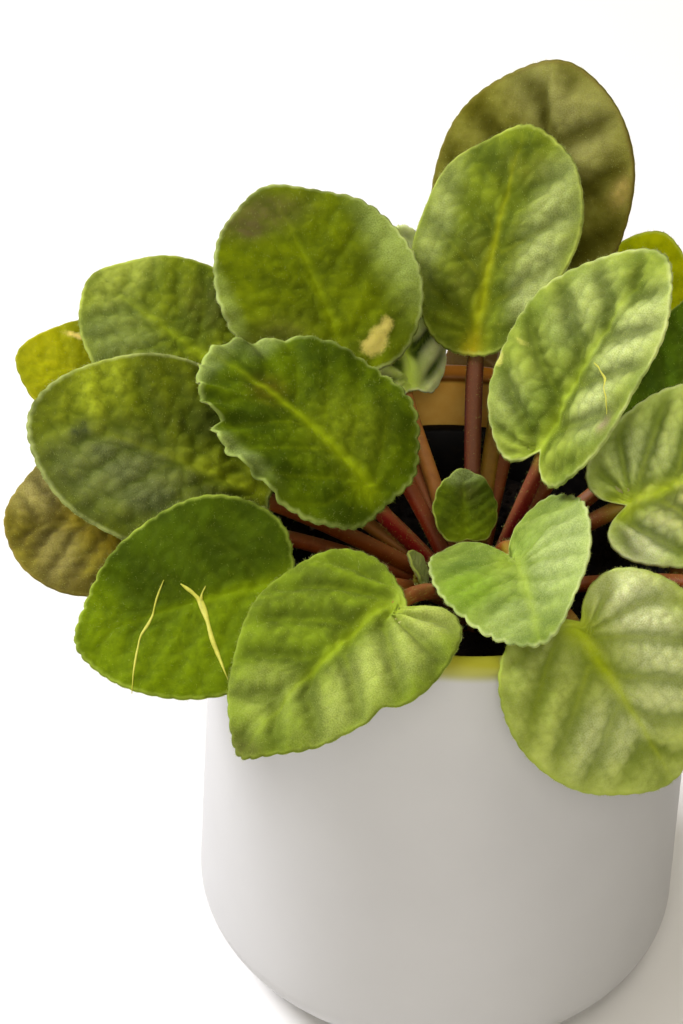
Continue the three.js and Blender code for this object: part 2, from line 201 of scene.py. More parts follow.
def glazedStoneware():
    # stoneware with a satin white glaze: lights show as soft broad patches over a slight ripple;
    # its inside is painted with warm tan light that comes through the leaves, with painted shade in a band
    # along the rim, and the front of the rim is painted with yellow-green light that shines through the
    # leaves
    material, tree, place = startMaterial("glazedStoneware")
    look, size = potLook, potSize
    cloud, pits, streaks, ripples = (
        addNode(tree, "TexNoise", {"Vector": place, "Scale": 1 / wide, "Detail": detail, "Roughness": rough})
        for wide, detail, rough in ((30, 3, 0.5), (0.9, 2, 0.5), (14, 4, 0.6), (9, 3, 0.6)))
    pitted = addNode(tree, "MapRange", {0: pits, 1: 0.70, 2: 0.80, 3: 0, 4: 0.12}, **smooth)
    parts = addNode(tree, "SeparateXYZ", {0: place}).outputs
    flat = addNode(tree, "VectorMath", {0: place, 1: (1, 1, 0)}, **times)
    radius = addNode(tree, "VectorMath", {0: flat}, operation="LENGTH").outputs["Value"]
    # the painted inside light ends on the rim, and lower down it follows the inside of the rounded foot
    rimEdge = size["radius"] - size["lean"] - size["wall"] + look["paintedLightOut"]
    limit = addNode(tree, "MapRange", {0: parts[2], 1: 0, 2: size["footRise"],
                                       3: size["footRise"] * 1.9, 4: rimEdge})
    beyond = addNode(tree, "Math", {0: radius, 1: limit}, operation="SUBTRACT")
    within = addNode(tree, "MapRange", {0: beyond, 1: 0, 2: look["paintedLightFade"], 3: 1, 4: 0}, **smooth)
    aboveFoot = addNode(tree, "MapRange", {0: parts[2], 1: 3, 2: 6})
    inside = addNode(tree, "Math", {0: within, 1: aboveFoot}, **times)
    patchy = addNode(tree, "MapRange", {0: streaks, 1: 0.35, 2: 0.65})
    # painted shade in a darker band along the top of the rim, and below it painted warm light through the
    # leaves on the inside wall, in streaks
    rimShade = addNode(tree, "MapRange", {0: parts[2], 1: size["height"] - look["rimShadeLow"],
                                      2: size["height"] - look["rimShadeHigh"]}, **smooth)
    tintLayer = addNode(tree, "Mix", {0: patchy, 6: look["paintedLeafLightDim"], 7: look["paintedLeafLight"]}, **rgba)
    tintLayer = addNode(tree, "Mix", {0: rimShade, 6: tintLayer, 7: look["rimShade"]}, **rgba)
    # painted light: yellow-green light shining through the leaves onto the front of the rim
    front = addNode(tree, "MapRange", {0: parts[1], 1: -20, 2: -50, 3: 0, 4: 1}, **smooth)
    rimHeight = addNode(tree, "MapRange", {0: parts[2], 1: size["height"] - look["leafGlowLow"],
                                           2: size["height"] - look["leafGlowHigh"], 3: 0, 4: 0.9}, **smooth)
    leafGlow = addNode(tree, "Math", {0: front, 1: rimHeight}, **times)
    colour = look["glaze"]
    layers = ((cloud, look["cloud"]), (pitted, look["pit"]), (inside, tintLayer), (leafGlow, look["leafGlow"]))
    for share, over in layers:
        colour = addNode(tree, "Mix", {0: share, 6: colour, 7: over}, **rgba)
    rippled = addNode(tree, "Bump", {"Height": ripples, "Strength": 0.35, "Distance": 0.25 * mm})
    grain = addNode(tree, "Bump", {"Height": pits, "Strength": 0.15, "Distance": 0.05 * mm,
                                   "Normal": rippled})
    finishMaterial(tree, {"Base Color": colour, "Normal": grain, "Roughness": 0.45, "IOR": 1.5,
                          "Specular IOR Level": 0.16, "Coat Weight": 0.02, "Coat Roughness": 0.3})
    return material


def arcPoints(centreRadius, centreHeight, spanRadius, spanHeight, start, end, steps):
    turns = np.radians(np.linspace(start, end, steps + 1))
    return [(centreRadius + spanRadius * math.cos(a), centreHeight + spanHeight * math.sin(a)) for a in turns]


def steppedLine(first, last, steps):
    return [tuple(np.array(first) + (np.array(last) - first) * i / steps) for i in range(1, steps)]


def buildLathe(name, profile, sides, material, centre=(0, 0), uneven=0.0):
    # profile runs from the axis to the axis; its two ends close on a point
    rings = np.array(profile[1:-1], float)
    angles = anglesRound(sides)
    radius = rings[:, :1] * np.ones(sides)
    height = rings[:, 1:] * np.ones(sides)
    radius = radius + uneven * (np.sin(3 * angles + height / 23) * np.sin(height / 17 + 1) - 1)
    ends = [[*centre, profile[0][1]], [*centre, profile[-1][1]]]
    points = np.concatenate([ringPoints(angles, radius, height, centre).reshape(-1, 3), ends])
    lastRing = (len(rings) - 1) * sides
    groups = [(latheFaces(len(rings), sides), 0), (capFaces(len(points) - 2, 0, sides), 0),
              (capFaces(len(points) - 1, lastRing, sides, True), 0)]
    return newPiece(name, points, groups, [material])


def buildPot(material):
    s = potSize
    rim = s["radius"] - s["lean"]
    footAngle = math.degrees(math.asin(s["footRise"] / s["footCurve"]))
    inner = s["radius"] - s["wall"]
    innerRim = rim - s["wall"]
    foot = arcPoints(0, s["footRise"], s["radius"], s["footCurve"], -footAngle, 0, 22)
    lip = arcPoints(rim - s["rimOuterRound"], s["height"] - s["rimOuterRound"],
                    s["rimOuterRound"], s["rimOuterRound"], 0, 90, 9)
    inside = arcPoints(innerRim + s["rimInnerRound"], s["height"] - s["rimInnerRound"],
                       s["rimInnerRound"], s["rimInnerRound"], 90, 180, 7)
    corner = arcPoints(inner - s["footRise"], s["floor"] + s["footRise"],
                       s["footRise"], s["footRise"], 0, -90, 10)
    profile = [(0, 0), (foot[0][0] - s["footFlat"], 0), *foot, *steppedLine(foot[-1], lip[0], 16), *lip,
               *inside, *steppedLine(inside[-1], corner[0], 14), *corner, (0, s["floor"])]
    return buildLathe("white_pot", profile, s["sides"], material, uneven=s["uneven"])


pot = buildPot(glazedStoneware())
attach(pot, "root")
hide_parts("pot")
print("pot made")


# the nursery pot

nurserySize = {"foot": 8.3, "top": 130.5, "baseRadius": 38, "rimRadius": 53.2, "wall": 1.5, "lipRadius": 55,
               "lipHeight": 4, "lipRound": 0.7, "drainHoles": 6, "drainRadius": 5, "drainCircle": 27,
               "sides": 128}
nurseryLook = {"plastic": "#060505", "dust": "#17110b"}


def mouldedPolypropylene():
    # black moulded polypropylene: dull, with a fine moulded grain and dust of dry peat
    material, tree, place = startMaterial("mouldedPolypropylene")
    look = nurseryLook
    clumps = addNode(tree, "TexNoise", {"Vector": place, "Scale": 1 / 7, "Detail": 4, "Roughness": 0.7})
    dust = addNode(tree, "MapRange", {0: clumps, 1: 0.5, 2: 0.75}, **smooth)
    colour = addNode(tree, "Mix", {0: dust, 6: look["plastic"], 7: look["dust"]}, **rgba)
    rough = addNode(tree, "MapRange", {0: dust, 3: 0.5, 4: 0.85})
    # the real grain is near 0.1 mm, drawn at 0.5 mm so that it shows
    grain = addNode(tree, "TexNoise", {"Vector": place, "Scale": 1 / 0.5, "Detail": 2})
    relief = addNode(tree, "Bump", {"Height": grain, "Strength": 0.3, "Distance": 0.08 * mm})
    finishMaterial(tree, {"Base Color": colour, "Normal": relief, "Roughness": rough, "IOR": 1.49,
                          "Specular IOR Level": 0.12})
    return material


def nurseryRadius(height):
    s = nurserySize
    share = (height - s["foot"]) / (s["top"] - s["foot"])
    return s["baseRadius"] + (s["rimRadius"] - s["baseRadius"]) * share


def buildNurseryPot(material):
    s = nurserySize
    lipFoot = s["top"] - s["lipHeight"]
    floorTop = s["foot"] + s["wall"]
    underLip = (nurseryRadius(lipFoot), lipFoot)
    wallFoot = (nurseryRadius(floorTop) - s["wall"], floorTop)
    wallTop = nurseryRadius(s["top"]) - s["wall"]
    footEdge = (s["baseRadius"], s["foot"] + 0.8)
    lipEdge = arcPoints(s["lipRadius"] - s["lipRound"], s["top"] - s["lipRound"],
                        s["lipRound"], s["lipRound"], 0, 90, 4)
    wallEdge = (wallTop, s["top"] - 0.4)
    profile = [(0, s["foot"]), (s["baseRadius"] - 1, s["foot"]), footEdge,
               *steppedLine(footEdge, underLip, 8), underLip, (s["lipRadius"] - 0.3, lipFoot),
               (s["lipRadius"], lipFoot + 0.3), *lipEdge, (wallTop + 0.5, s["top"]), wallEdge,
               *steppedLine(wallEdge, wallFoot, 8), wallFoot, (0, floorTop)]
    piece = buildLathe("nursery_pot_wall", profile, s["sides"], material)
    cutters = []
    for i in range(s["drainHoles"]):
        angle = 2 * math.pi * (i + 0.5) / s["drainHoles"]
        at = (s["drainCircle"] * math.cos(angle), s["drainCircle"] * math.sin(angle))
        low, high = s["foot"] - s["wall"], floorTop + s["wall"]
        drill = [(0, low), (s["drainRadius"], low), (s["drainRadius"], high), (0, high)]
        cutters.append(buildLathe(f"drainCutter{i}", drill, 32, material, centre=at))
    for cutter in cutters:
        cut = piece.modifiers.new("drain", "BOOLEAN")
        cut.operation, cut.solver, cut.object = "DIFFERENCE", "EXACT", cutter
    evaluated = piece.evaluated_get(bpy.context.evaluated_depsgraph_get())
    piece.data = bpy.data.meshes.new_from_object(evaluated)
    piece.modifiers.clear()
    for cutter in cutters:
        bpy.data.objects.remove(cutter)
    return piece


nurseryPot = buildNurseryPot(mouldedPolypropylene())
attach(nurseryPot, "root")
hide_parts("nursery_pot")
print("nursery pot made")


# the soil, with crumbs of peat and a few perlite grains, each given as (how many, smallest, largest)
# crown is where the stem stands, and the slacks keep the fill off the nursery pot's wall and floor

soilSize = {"top": 119, "lump": 1.1, "rings": 56, "sides": 160, "crumbs": (560, 0.5, 1.7),
            "perlite": (16, 0.7, 1.4), "grainEdge": 2.5, "grainRise": 0.15, "grainRough": 0.28,
            "crown": (4, -8), "stemHole": 7.1, "stemDip": 2.2,
            "topSlack": 0.5, "lowSlack": 0.7, "floorSlack": 0.3}
soilLook = {"wet": "#080503", "dry": "#1a110a", "fibre": "#2c1f13", "perlite": "#665a48",
            "perliteStain": "#3a2f23"}


def moistPeat():
    # moist peat: near black and crumbly, with browner fibres where it has dried
    material, tree, place = startMaterial("moistPeat")
    look = soilLook
    damp = addNode(tree, "TexNoise", {"Vector": place, "Scale": 1 / 5, "Detail": 5, "Roughness": 0.7})
    fine = addNode(tree, "TexNoise", {"Vector": place, "Scale": 1 / 0.8, "Detail": 4, "Roughness": 0.7})
    dry = addNode(tree, "MapRange", {0: damp, 1: 0.45, 2: 0.72}, **smooth)
    fibres = addNode(tree, "MapRange", {0: fine, 1: 0.62, 2: 0.72}, **smooth)
    colour = addNode(tree, "Mix", {0: dry, 6: look["wet"], 7: look["dry"]}, **rgba)
    colour = addNode(tree, "Mix", {0: fibres, 6: colour, 7: look["fibre"]}, **rgba)
    relief = addNode(tree, "Bump", {"Height": fine, "Strength": 0.8, "Distance": 0.6 * mm})
    finishMaterial(tree, {"Base Color": colour, "Normal": relief, "Roughness": 0.95, "IOR": 1.4,
                          "Specular IOR Level": 0.15})
    return material


def expandedPerlite():
    # expanded perlite: dull grains, once white, that the peat has stained
    material, tree, place = startMaterial("expandedPerlite")
    spots = addNode(tree, "TexNoise", {"Vector": place, "Scale": 1 / 1.5, "Detail": 3})
    tintLayer = addNode(tree, "MapRange", {0: spots, 1: 0.4, 2: 0.7}, **smooth)
    colour = addNode(tree, "Mix", {0: tintLayer, 6: soilLook["perlite"], 7: soilLook["perliteStain"]}, **rgba)
    finishMaterial(tree, {"Base Color": colour, "Roughness": 0.9})
    return material


def soilHeight(x, y):
    coarse = np.sin(0.31 * x + 0.6) * np.cos(0.27 * y)
    fine = 0.5 * np.sin(0.83 * x - 0.5 * y) * np.cos(0.71 * y + 0.4 * x)
    crumble = 0.35 * np.sin(2.3 * x + 1.1 * np.sin(1.9 * y)) * np.sin(2.1 * y + 1.3 * np.sin(1.7 * x))
    return soilSize["top"] + soilSize["lump"] * (coarse + fine) + crumble


def addLumps(places, sizes, firstPoint):
    # rough little stones: a ball of rings pushed in and out
    rows, sides = 5, 7
    polar = np.pi * (np.arange(rows) + 0.5) / rows
    unit = ringPoints(anglesRound(sides), np.sin(polar)[:, None], np.cos(polar)[:, None])
    unit = np.concatenate([unit.reshape(-1, 3), [[0, 0, 1], [0, 0, -1]]])
    quads = latheFaces(rows, sides)[:, ::-1]
    caps = [capFaces(rows * sides, 0, sides, True), capFaces(rows * sides + 1, (rows - 1) * sides, sides)]
    points, quadList, triList = [], [], []
    for n, (place, size) in enumerate(zip(places, sizes)):
        push = 1 + soilSize["grainRough"] * rng.uniform(-1, 1, (len(unit), 1))
        points.append(place + unit * push * size * rng.uniform(0.7, 1.2, 3))
        first = firstPoint + n * len(unit)
        quadList.append(quads + first)
        triList.extend(cap + first for cap in caps)
    return np.concatenate(points), np.concatenate(quadList), np.concatenate(triList)


def buildSoil(materials):
    s = soilSize
    low = nurserySize["foot"] + nurserySize["wall"] + s["floorSlack"]
    topRadius = nurseryRadius(s["top"]) - nurserySize["wall"] - s["topSlack"]
    lowRadius = nurseryRadius(low) - nurserySize["wall"] - s["lowSlack"]
    reach = np.linspace(0, 1, s["rings"] + 1)[1:]
    angles = anglesRound(s["sides"])
    x = topRadius * reach[:, None] * np.cos(angles)
    y = topRadius * reach[:, None] * np.sin(angles)
    # the surface dips round the stem
    away = np.hypot(x - s["crown"][0], y - s["crown"][1])
    z = soilHeight(x, y) - s["stemDip"] * hump(away, s["stemHole"] + 2, 4)
    top = np.stack([x, y, z], -1).reshape(-1, 3)
    ends = [[0, 0, soilHeight(0, 0) - s["stemDip"]], [0, 0, low]]
    points = np.concatenate([top, ringPoints(angles, lowRadius, low), ends])
    groups = [(latheFaces(s["rings"] + 1, s["sides"])[:, ::-1], 0),
              (capFaces(len(points) - 2, 0, s["sides"], True), 0),
              (capFaces(len(points) - 1, s["rings"] * s["sides"], s["sides"]), 0)]
    for number, (count, small, large) in enumerate((s["crumbs"], s["perlite"])):
        radius = (topRadius - s["grainEdge"]) * np.sqrt(rng.uniform(0, 1, count))
        turn = rng.uniform(0, 2 * np.pi, count)
        cx, cy = radius * np.cos(turn), radius * np.sin(turn)
        sizes = small + (large - small) * rng.uniform(0, 1, count) ** 2
        places = np.stack([cx, cy, soilHeight(cx, cy) + s["grainRise"] * sizes], -1)
        more, quadMore, triMore = addLumps(places, sizes, len(points))
        points = np.concatenate([points, more])
        groups += [(quadMore, number), (triMore, number)]
    return newPiece("peat_soil", points, groups, materials)


soil = buildSoil([moistPeat(), expandedPerlite()])
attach(soil, "root")
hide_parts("soil")
print("soil made")


# plant hair, shared by blades and petioles

hairSize = {"upper": 2300, "under": 200, "margin": 620, "length": 0.55, "marginLength": 0.7, "radius": 0.03,
            "sunk": 0.1}
hairLook = {"dull": "#707f14", "bright": "#b0bc44"}


# plant hair: clear cell walls that read as a grey-green bloom and a pale rim against the light
hair = mottledMaterial("plantHair", 4, (hairLook["dull"], hairLook["bright"]),
                       {"Roughness": 0.5, "Subsurface Weight": 0.4,
                        "Subsurface Radius": (0.4, 0.4, 0.2), "Subsurface Scale": mm})


# the leaves: each blade's place, aim and form as in the solids, then its own look
# joint is where the veins meet, cleft is (turn, depth, half width in radians) of the cut at the base,
# fold the depth of the midrib's valley, stalk the petiole's colour, notches are (turn, depth, half width),
# ruffles (turn, half width, height), marks (tone, x, y, half width, half length, strength), where some
# pale marks are painted light or sheen and some dark ones painted shadow, as said at each leaf, and
# scars (width, route); plainBlade and bladeLook hold what a leaf doesn't give, and bladeForm what all share

bladeForm = {"middle": 1.7, "margin": 0.8, "base": 1.42, "tipReach": 0.35, "sinusReach": 0.36,
             "sinusDepth": 0.9, "veinSpacing": 0.17, "veinLean": 0.62, "veinArch": 0.005, "baseVein": 35,
             "puffGain": 2.3, "waves": 7, "calm": 0.5, "youngest": 0.4, "fullLength": 80, "plainArea": 2800,
             "toothStep": 3.7, "toothDepth": 0.7, "cellStep": 0.075, "swell": 0.45, "valleyWide": 0.17,
             "groove": 0.4, "midribThick": 0.9, "rings": 40, "belowRings": 12, "sectors": 220,
             "lastRing": 0.985, "hiddenDetail": 0.6, "hiddenHairs": 0.4}
bladeLook = {"shade": "#465605", "flesh": "#5f7307", "vein": "#8ea012", "blotchAndShadow": "#3c3a14",
             "freshLightAndShade": "#a3b223", "hairSheen": "#929f3c", "dry": "#d9c26a", "rim": "#b7c35c", "furrow": "#303c05",
             "under": "#9aa463", "underVein": "#b9a873", "underPatch": "#86704a", "sheen": "#cdd68a",
             "fuzz": 0.3, "veinShow": 0.35, "rimLightShow": 0.7, "rimLightWide": 0.05, "furrowShow": 0.55}
plainBlade = dict(cup=0, point=0.03, wave=0.6, fold=1.2, crenate=0.5, veinGap=1, pucker=1, hook=9,
                  joint=(0, 0), cleft=None, crease=(99, 0), notches=[], ruffles=[], marks=[], scars=[],
                  hidden=False, stalk="#6c300c")

leaves = [
    dict(name="leaf_front", at=(-13, -56, 165), azimuth=230, pitch=-4, roll=1, length=57, width=50,
         droop=21, cup=-0.03, egg=0.25, lobe=0.14, sweep=-3, point=0.06, quilt=1.7, wave=0.8, pucker=0.6,
         joint=(-3, 5), cleft=(-2.93, 6, 0.16), fold=2.8, crenate=0.7, notches=[(-1.36, 2.2, 0.09)],
         veinGap=1.4,
         look=dict(shade="#4a5a02", flesh="#6a8006", vein="#94aa10", hairSheen="#a9b55e", rim="#93a244",
                   veinShow=0.4, rimLightShow=0.4),
         # the pale patches on the x < 0 half are painted sheen where that half faces the light
         marks=[("hairSheen", -13, 24, 9, 24, 0.85), ("hairSheen", -9, 2, 9, 7, 0.7), ("hairSheen", 4, 46, 9, 10, 0.5),
                ("blotchAndShadow", 2, 59, 10, 3, 0.8), ("freshLightAndShade", -9, 4, 5, 4, 0.4)]),
    dict(name="leaf_front_left", at=(-40, -48, 159), azimuth=196, pitch=-6, roll=30, length=55, width=50,
         droop=27, cup=0.03, egg=0.19, lobe=0.08, sweep=-2, quilt=0.5, wave=0.5, crenate=0.8,
         stalk="#7a3e0a",
         look=dict(shade="#2c3b00", flesh="#3e5002", vein="#728604", freshLightAndShade="#627602", rim="#a9bb4a",
                   fuzz=0.05, veinShow=0.4),
         # the bright green marks are painted light shining through the blade, mostly on its lower, x < 0 half
         marks=[("freshLightAndShade", -15, 30, 14.5, 27, 0.9), ("freshLightAndShade", -2, 12, 4, 14, 0.9),
                ("freshLightAndShade", 2, 50, 12, 7, 0.9)],
         scars=[(0.9, [(8, 31), (3, 34.5), (-1.2, 36.7), (-4, 40), (-9, 42), (-18.5, 45)]),
                (1.7, [(5.6, 27.5), (2.5, 25), (-0.1, 23.5), (-5.5, 22.8), (-10.9, 22.6), (-23, 20.6)]),
                (0.7, [(3.2, 21.3), (1.5, 22.8), (-0.8, 23.6), (-2.5, 23.4)])]),
    dict(name="leaf_left_wide", at=(-49, -17, 160), azimuth=175, pitch=21, roll=24, length=62, width=54,
         droop=22, egg=0.02, lobe=0.12, sweep=1, quilt=0.7, pucker=1.5, stalk="#683004",
         look=dict(shade="#3a4102", flesh="#5a6404", vein="#727c04", blotchAndShadow="#222a12", hairSheen="#6a7142",
                   freshLightAndShade="#929e1c", rim="#b4be78", fuzz=0.15, furrowShow=0.7),
         marks=[("hairSheen", -10, 36, 11, 19, 0.95), ("blotchAndShadow", -9, 36.6, 3, 4, 0.9),
                ("blotchAndShadow", -1.9, 49.7, 4, 3, 1.0), ("blotchAndShadow", -13, 24.5, 4, 4, 0.9),
                ("blotchAndShadow", -5.6, 43, 3, 3, 0.9), ("blotchAndShadow", -15, 30, 3, 6, 0.7),
                ("freshLightAndShade", 10, 50, 14, 8, 0.75), ("freshLightAndShade", 1, 13, 4, 12, 0.7),
                ("blotchAndShadow", 15, 20, 8, 10, 0.4)]),
    dict(name="leaf_left_brown", at=(-70, -23, 156), azimuth=188, pitch=-5, roll=30, length=46, width=42,
         droop=28, cup=0.1, egg=0.05, lobe=0.1, sweep=4, quilt=1.0, fold=1.6, crenate=0.4,
         look=dict(shade="#463e06", flesh="#6c6414", vein="#75701c", blotchAndShadow="#3e3808", hairSheen="#a59c5c",
                   freshLightAndShade="#85720c", rim="#8a7a38", furrow="#30280a", fuzz=0.2, veinShow=0.3, furrowShow=0.7),
         marks=[("hairSheen", 9, 38, 6, 7, 0.8), ("hairSheen", -8, 32, 8, 6, 0.5), ("freshLightAndShade", -3, 16, 8, 9, 0.9),
                ("blotchAndShadow", 14, 30, 5, 8, 0.5), ("blotchAndShadow", -14, 36, 4, 6, 0.5), ("freshLightAndShade", 2, 28, 5, 5, 0.5)]),
    dict(name="leaf_left_ochre", at=(-82, 20, 160), azimuth=175, pitch=16, roll=24, length=36, width=32,
         droop=26, cup=0.02, egg=0.09, lobe=0.11, sweep=2, point=0.06, quilt=0.4, wave=0.4, fold=0.8,
         stalk="#8e5a1c",
         look=dict(shade="#666a02", flesh="#807f02", vein="#98960a", freshLightAndShade="#929408", rim="#a8a428",
                   furrow="#545a04", fuzz=0.02, veinShow=0.4),
         marks=[("dry", 9.5, 22, 1.0, 6, 0.9), ("freshLightAndShade", 0, 28, 12, 8, 0.6)]),
    dict(name="leaf_left_back", at=(-58, 13, 170), azimuth=152, pitch=23, roll=20, length=51, width=45,
         droop=24, egg=0.1, lobe=0.12, sweep=1, quilt=0.7, wave=0.4, fold=1.4, crenate=0.4, pucker=1.4,
         stalk="#5a0806",
         look=dict(shade="#465206", flesh="#677308", vein="#7c8c10", freshLightAndShade="#949f40", hairSheen="#7f8b52",
                   fuzz=0.12, veinShow=0.6, furrowShow=0.6),
         marks=[("hairSheen", -10, 34, 10, 10, 0.6), ("freshLightAndShade", 6, 46, 14, 7, 0.7),
                ("blotchAndShadow", 12, 22, 7, 9, 0.5)]),
    dict(name="leaf_centre_wavy", at=(-19, -20, 162), azimuth=151, pitch=42, roll=4, length=57, width=51,
         droop=30, cup=0.08, egg=0.12, lobe=0.05, sweep=-4, quilt=0.5, wave=1.2, joint=(-1.7, 6.3),
         fold=1.3, crenate=1.5, notches=[(-0.92, 3.0, 0.07)], stalk="#64080c",
         ruffles=[(-0.75, 0.75, 1.6), (0.5, 0.55, 1.1), (-1.7, 0.35, 0.7)],
         look=dict(shade="#344400", flesh="#526400", vein="#84960a", blotchAndShadow="#5a3f0a", hairSheen="#a0b068",
                   rim="#b2c26c", furrow="#283402", fuzz=0.05, veinShow=0.85, rimLightShow=0.6, rimLightWide=0.06),
         # the pale patches along the tip and the margins are painted highlight on the hairy edge
         marks=[("blotchAndShadow", 0, 41, 5, 5, 0.4), ("hairSheen", -5, 57, 17, 3, 0.5), ("hairSheen", -23, 36, 3, 12, 0.5),
                ("hairSheen", 14, 51, 8, 3, 0.5), ("freshLightAndShade", 6, 20, 12, 12, 0.25)]),
    dict(name="leaf_back_left", at=(-31, 19, 172), azimuth=121, pitch=43, roll=11, length=55, width=51,
         droop=27, cup=0.01, egg=0.06, lobe=0.07, sweep=-3, quilt=0.5, crenate=0.8,
         ruffles=[(-1.6, 0.3, 0.9)], crease=(15.5, 0.34), stalk="#641a06",
         look=dict(shade="#475200", flesh="#616e00", vein="#7a8a06", blotchAndShadow="#524a26", hairSheen="#8d9d50",
                   dry="#bfb25a", rim="#b0bb78", fuzz=0.05, veinShow=0.45),
         # the strongest pale patch, at x = 23, is painted light falling on the right part
         marks=[("blotchAndShadow", -6, 49, 13, 6, 0.75), ("blotchAndShadow", -9.9, 45, 3, 3, 0.6),
                ("hairSheen", 23, 29, 6, 18, 1.0), ("dry", 7.4, 5, 3.2, 2.6, 1.0),
                ("dry", 10.4, 7.4, 2.8, 2.8, 0.9), ("dry", 13.4, 10, 2, 2.2, 0.8),
                ("hairSheen", -24, 28, 2.6, 12, 0.6), ("blotchAndShadow", -14, 14, 8, 6, 0.4)]),
    dict(name="leaf_back_grey", at=(-15, 35, 157), azimuth=112, pitch=53, roll=-30, length=41, width=33,
         droop=5, cup=-0.09, egg=0.11, lobe=0.13, sweep=7, quilt=1.5, wave=0.4, fold=1.6, crenate=0.4,
         veinGap=1.5, pucker=0, stalk="#946026",
         look=dict(shade="#c4d678", flesh="#e2eca4", vein="#b4cc44", hairSheen="#ecf2c8", rim="#e8ecc4",
                   furrow="#1c3006", freshLightAndShade="#b4cc3c", fuzz=0.6, veinShow=0.8, rimLightShow=0.9, furrowShow=1),
         marks=[("freshLightAndShade", -4, 9, 6.5, 16, 1.0)]),
    dict(name="leaf_back_upright", at=(-1, 30, 173), azimuth=83, pitch=45, roll=20, length=62, width=46,
         droop=17, cup=-0.05, egg=-0.1, lobe=0.02, sweep=1, quilt=1.2, wave=0.8, joint=(0, 2), fold=2.4,
         crenate=0.4, veinGap=1.35, pucker=1.2, stalk="#400a06",
         look=dict(shade="#4a5802", flesh="#6a7808", vein="#8a9006", blotchAndShadow="#4f5008", hairSheen="#a6b06c",
                   freshLightAndShade="#8f6410", fuzz=0.2, veinShow=0.65, furrowShow=0.6),
         # the two pale patches near x = 15 are painted sheen where the right half faces the light
         marks=[("hairSheen", 15, 36, 7, 20, 0.9), ("hairSheen", 14, 18, 6, 8, 0.9), ("hairSheen", -17, 36, 5, 18, 0.6),
                ("freshLightAndShade", 0, 1, 2.5, 6, 0.8), ("blotchAndShadow", 4, 52, 10, 6, 0.5), ("blotchAndShadow", -5, 22, 6, 12, 0.5),
                ("blotchAndShadow", 6, 30, 3, 8, 0.3)]),
    dict(name="leaf_back_tall", at=(8, 56, 163), azimuth=78, pitch=66, roll=9, length=70, width=55,
         droop=20, cup=0.03, egg=-0.05, lobe=0, sweep=0, quilt=1.4, wave=0.5, hook=18, fold=2.6,
         crenate=0.3, veinGap=1.5, pucker=0.5, stalk="#7a5e08",
         look=dict(shade="#595608", flesh="#737228", vein="#828238", hairSheen="#9c9c62", freshLightAndShade="#8c7a3c",
                   rim="#5c4a20", furrow="#3a3804", fuzz=0.2, veinShow=0.3, furrowShow=0.85),
         marks=[("hairSheen", 8, 54, 12, 14, 0.6), ("hairSheen", -6, 64, 8, 8, 0.5), ("freshLightAndShade", 24, 42, 3, 5, 0.8)]),
    dict(name="leaf_right_folded", at=(16, -8, 168), azimuth=54, pitch=61, roll=14, length=60, width=45,
         droop=25, cup=0.12, egg=-0.02, lobe=0.1, sweep=2, point=0.05, quilt=1.4, wave=0.5,
         cleft=(3.12, 5, 0.13), fold=4.2, crenate=0.7, veinGap=1.3, stalk="#540a0c",
         look=dict(shade="#62760e", flesh="#87972c", vein="#a2b824", hairSheen="#bfc986", dry="#c4c262",
                   blotchAndShadow="#75584a", rim="#c4cc88", fuzz=0.35, veinShow=0.4, furrowShow=0.72),
         # the strong pale patches on the x > 0 half are painted sheen where the fold turns that half to the
         # light
         marks=[("hairSheen", 11, 40, 9, 16, 0.9), ("hairSheen", 12, 20, 7, 7, 0.7), ("hairSheen", -9, 42, 7, 12, 0.5),
                ("hairSheen", -14, 12, 6, 8, 0.35), ("dry", -18, 26, 3, 0.8, 0.55),
                ("dry", -21.3, 19.2, 1.3, 2.4, 0.75), ("blotchAndShadow", 18.6, 20, 1.8, 3, 0.9)],
         scars=[(0.8, [(3.7, 30.8), (6, 30.4), (9.1, 29.3), (12.5, 27.5), (15.7, 25), (18, 21.5)])]),
    dict(name="leaf_right_yellow", at=(35, 44, 153), azimuth=68, pitch=43, roll=8, length=46, width=38,
         droop=13, cup=-0.04, egg=0.15, lobe=0.14, sweep=-3, quilt=0.4, wave=0.4, crenate=0.3,
         look=dict(shade="#889302", flesh="#a9b002", vein="#b5ba18", furrow="#6a7404", fuzz=0.02)),
    dict(name="leaf_right_back", at=(46, 17, 160), azimuth=44, pitch=43, roll=4, length=46, width=39,
         droop=10, cup=-0.05, egg=0.06, lobe=0.11, sweep=-6, quilt=0.8, crenate=0.3, stalk="#66320c",
         look=dict(shade="#2b3d02", flesh="#3e5403", vein="#526606", fuzz=0.03, rimLightShow=0.4)),
    dict(name="leaf_right", at=(36, -11, 158), azimuth=12, pitch=24, roll=-30, length=50, width=47,
         droop=21, cup=-0.02, egg=-0.07, lobe=0.11, sweep=-4, quilt=1.7, joint=(0.7, 4.7),
         cleft=(3.1, 6, 0.13), fold=3.6, veinGap=1.3, stalk="#663614",
         look=dict(shade="#98ae3a", flesh="#c2d662", vein="#cee23a", freshLightAndShade="#eef49c", hairSheen="#e8eec0",
                   rim="#e0e8b0", furrow="#4c6004", fuzz=0.5, veinShow=0.7, furrowShow=0.75),
         # the pale marks at x = 13 and x = 7, on the lower, x > 0, half, are painted light on the lit lobe
         marks=[("hairSheen", 13, 6, 7, 8, 0.9), ("freshLightAndShade", 7, 20, 7, 9, 0.8), ("hairSheen", -10, 14, 7, 9, 0.35)]),
    dict(name="leaf_right_front", at=(28, -52, 157), azimuth=321, pitch=-35, roll=-28, length=50, width=56,
         droop=35, egg=0.09, lobe=0.15, sweep=0, quilt=1.4, wave=0.5, joint=(0, 3.2),
         cleft=(-3.08, 4, 0.1), fold=1.6, crenate=0.6, veinGap=1.45,
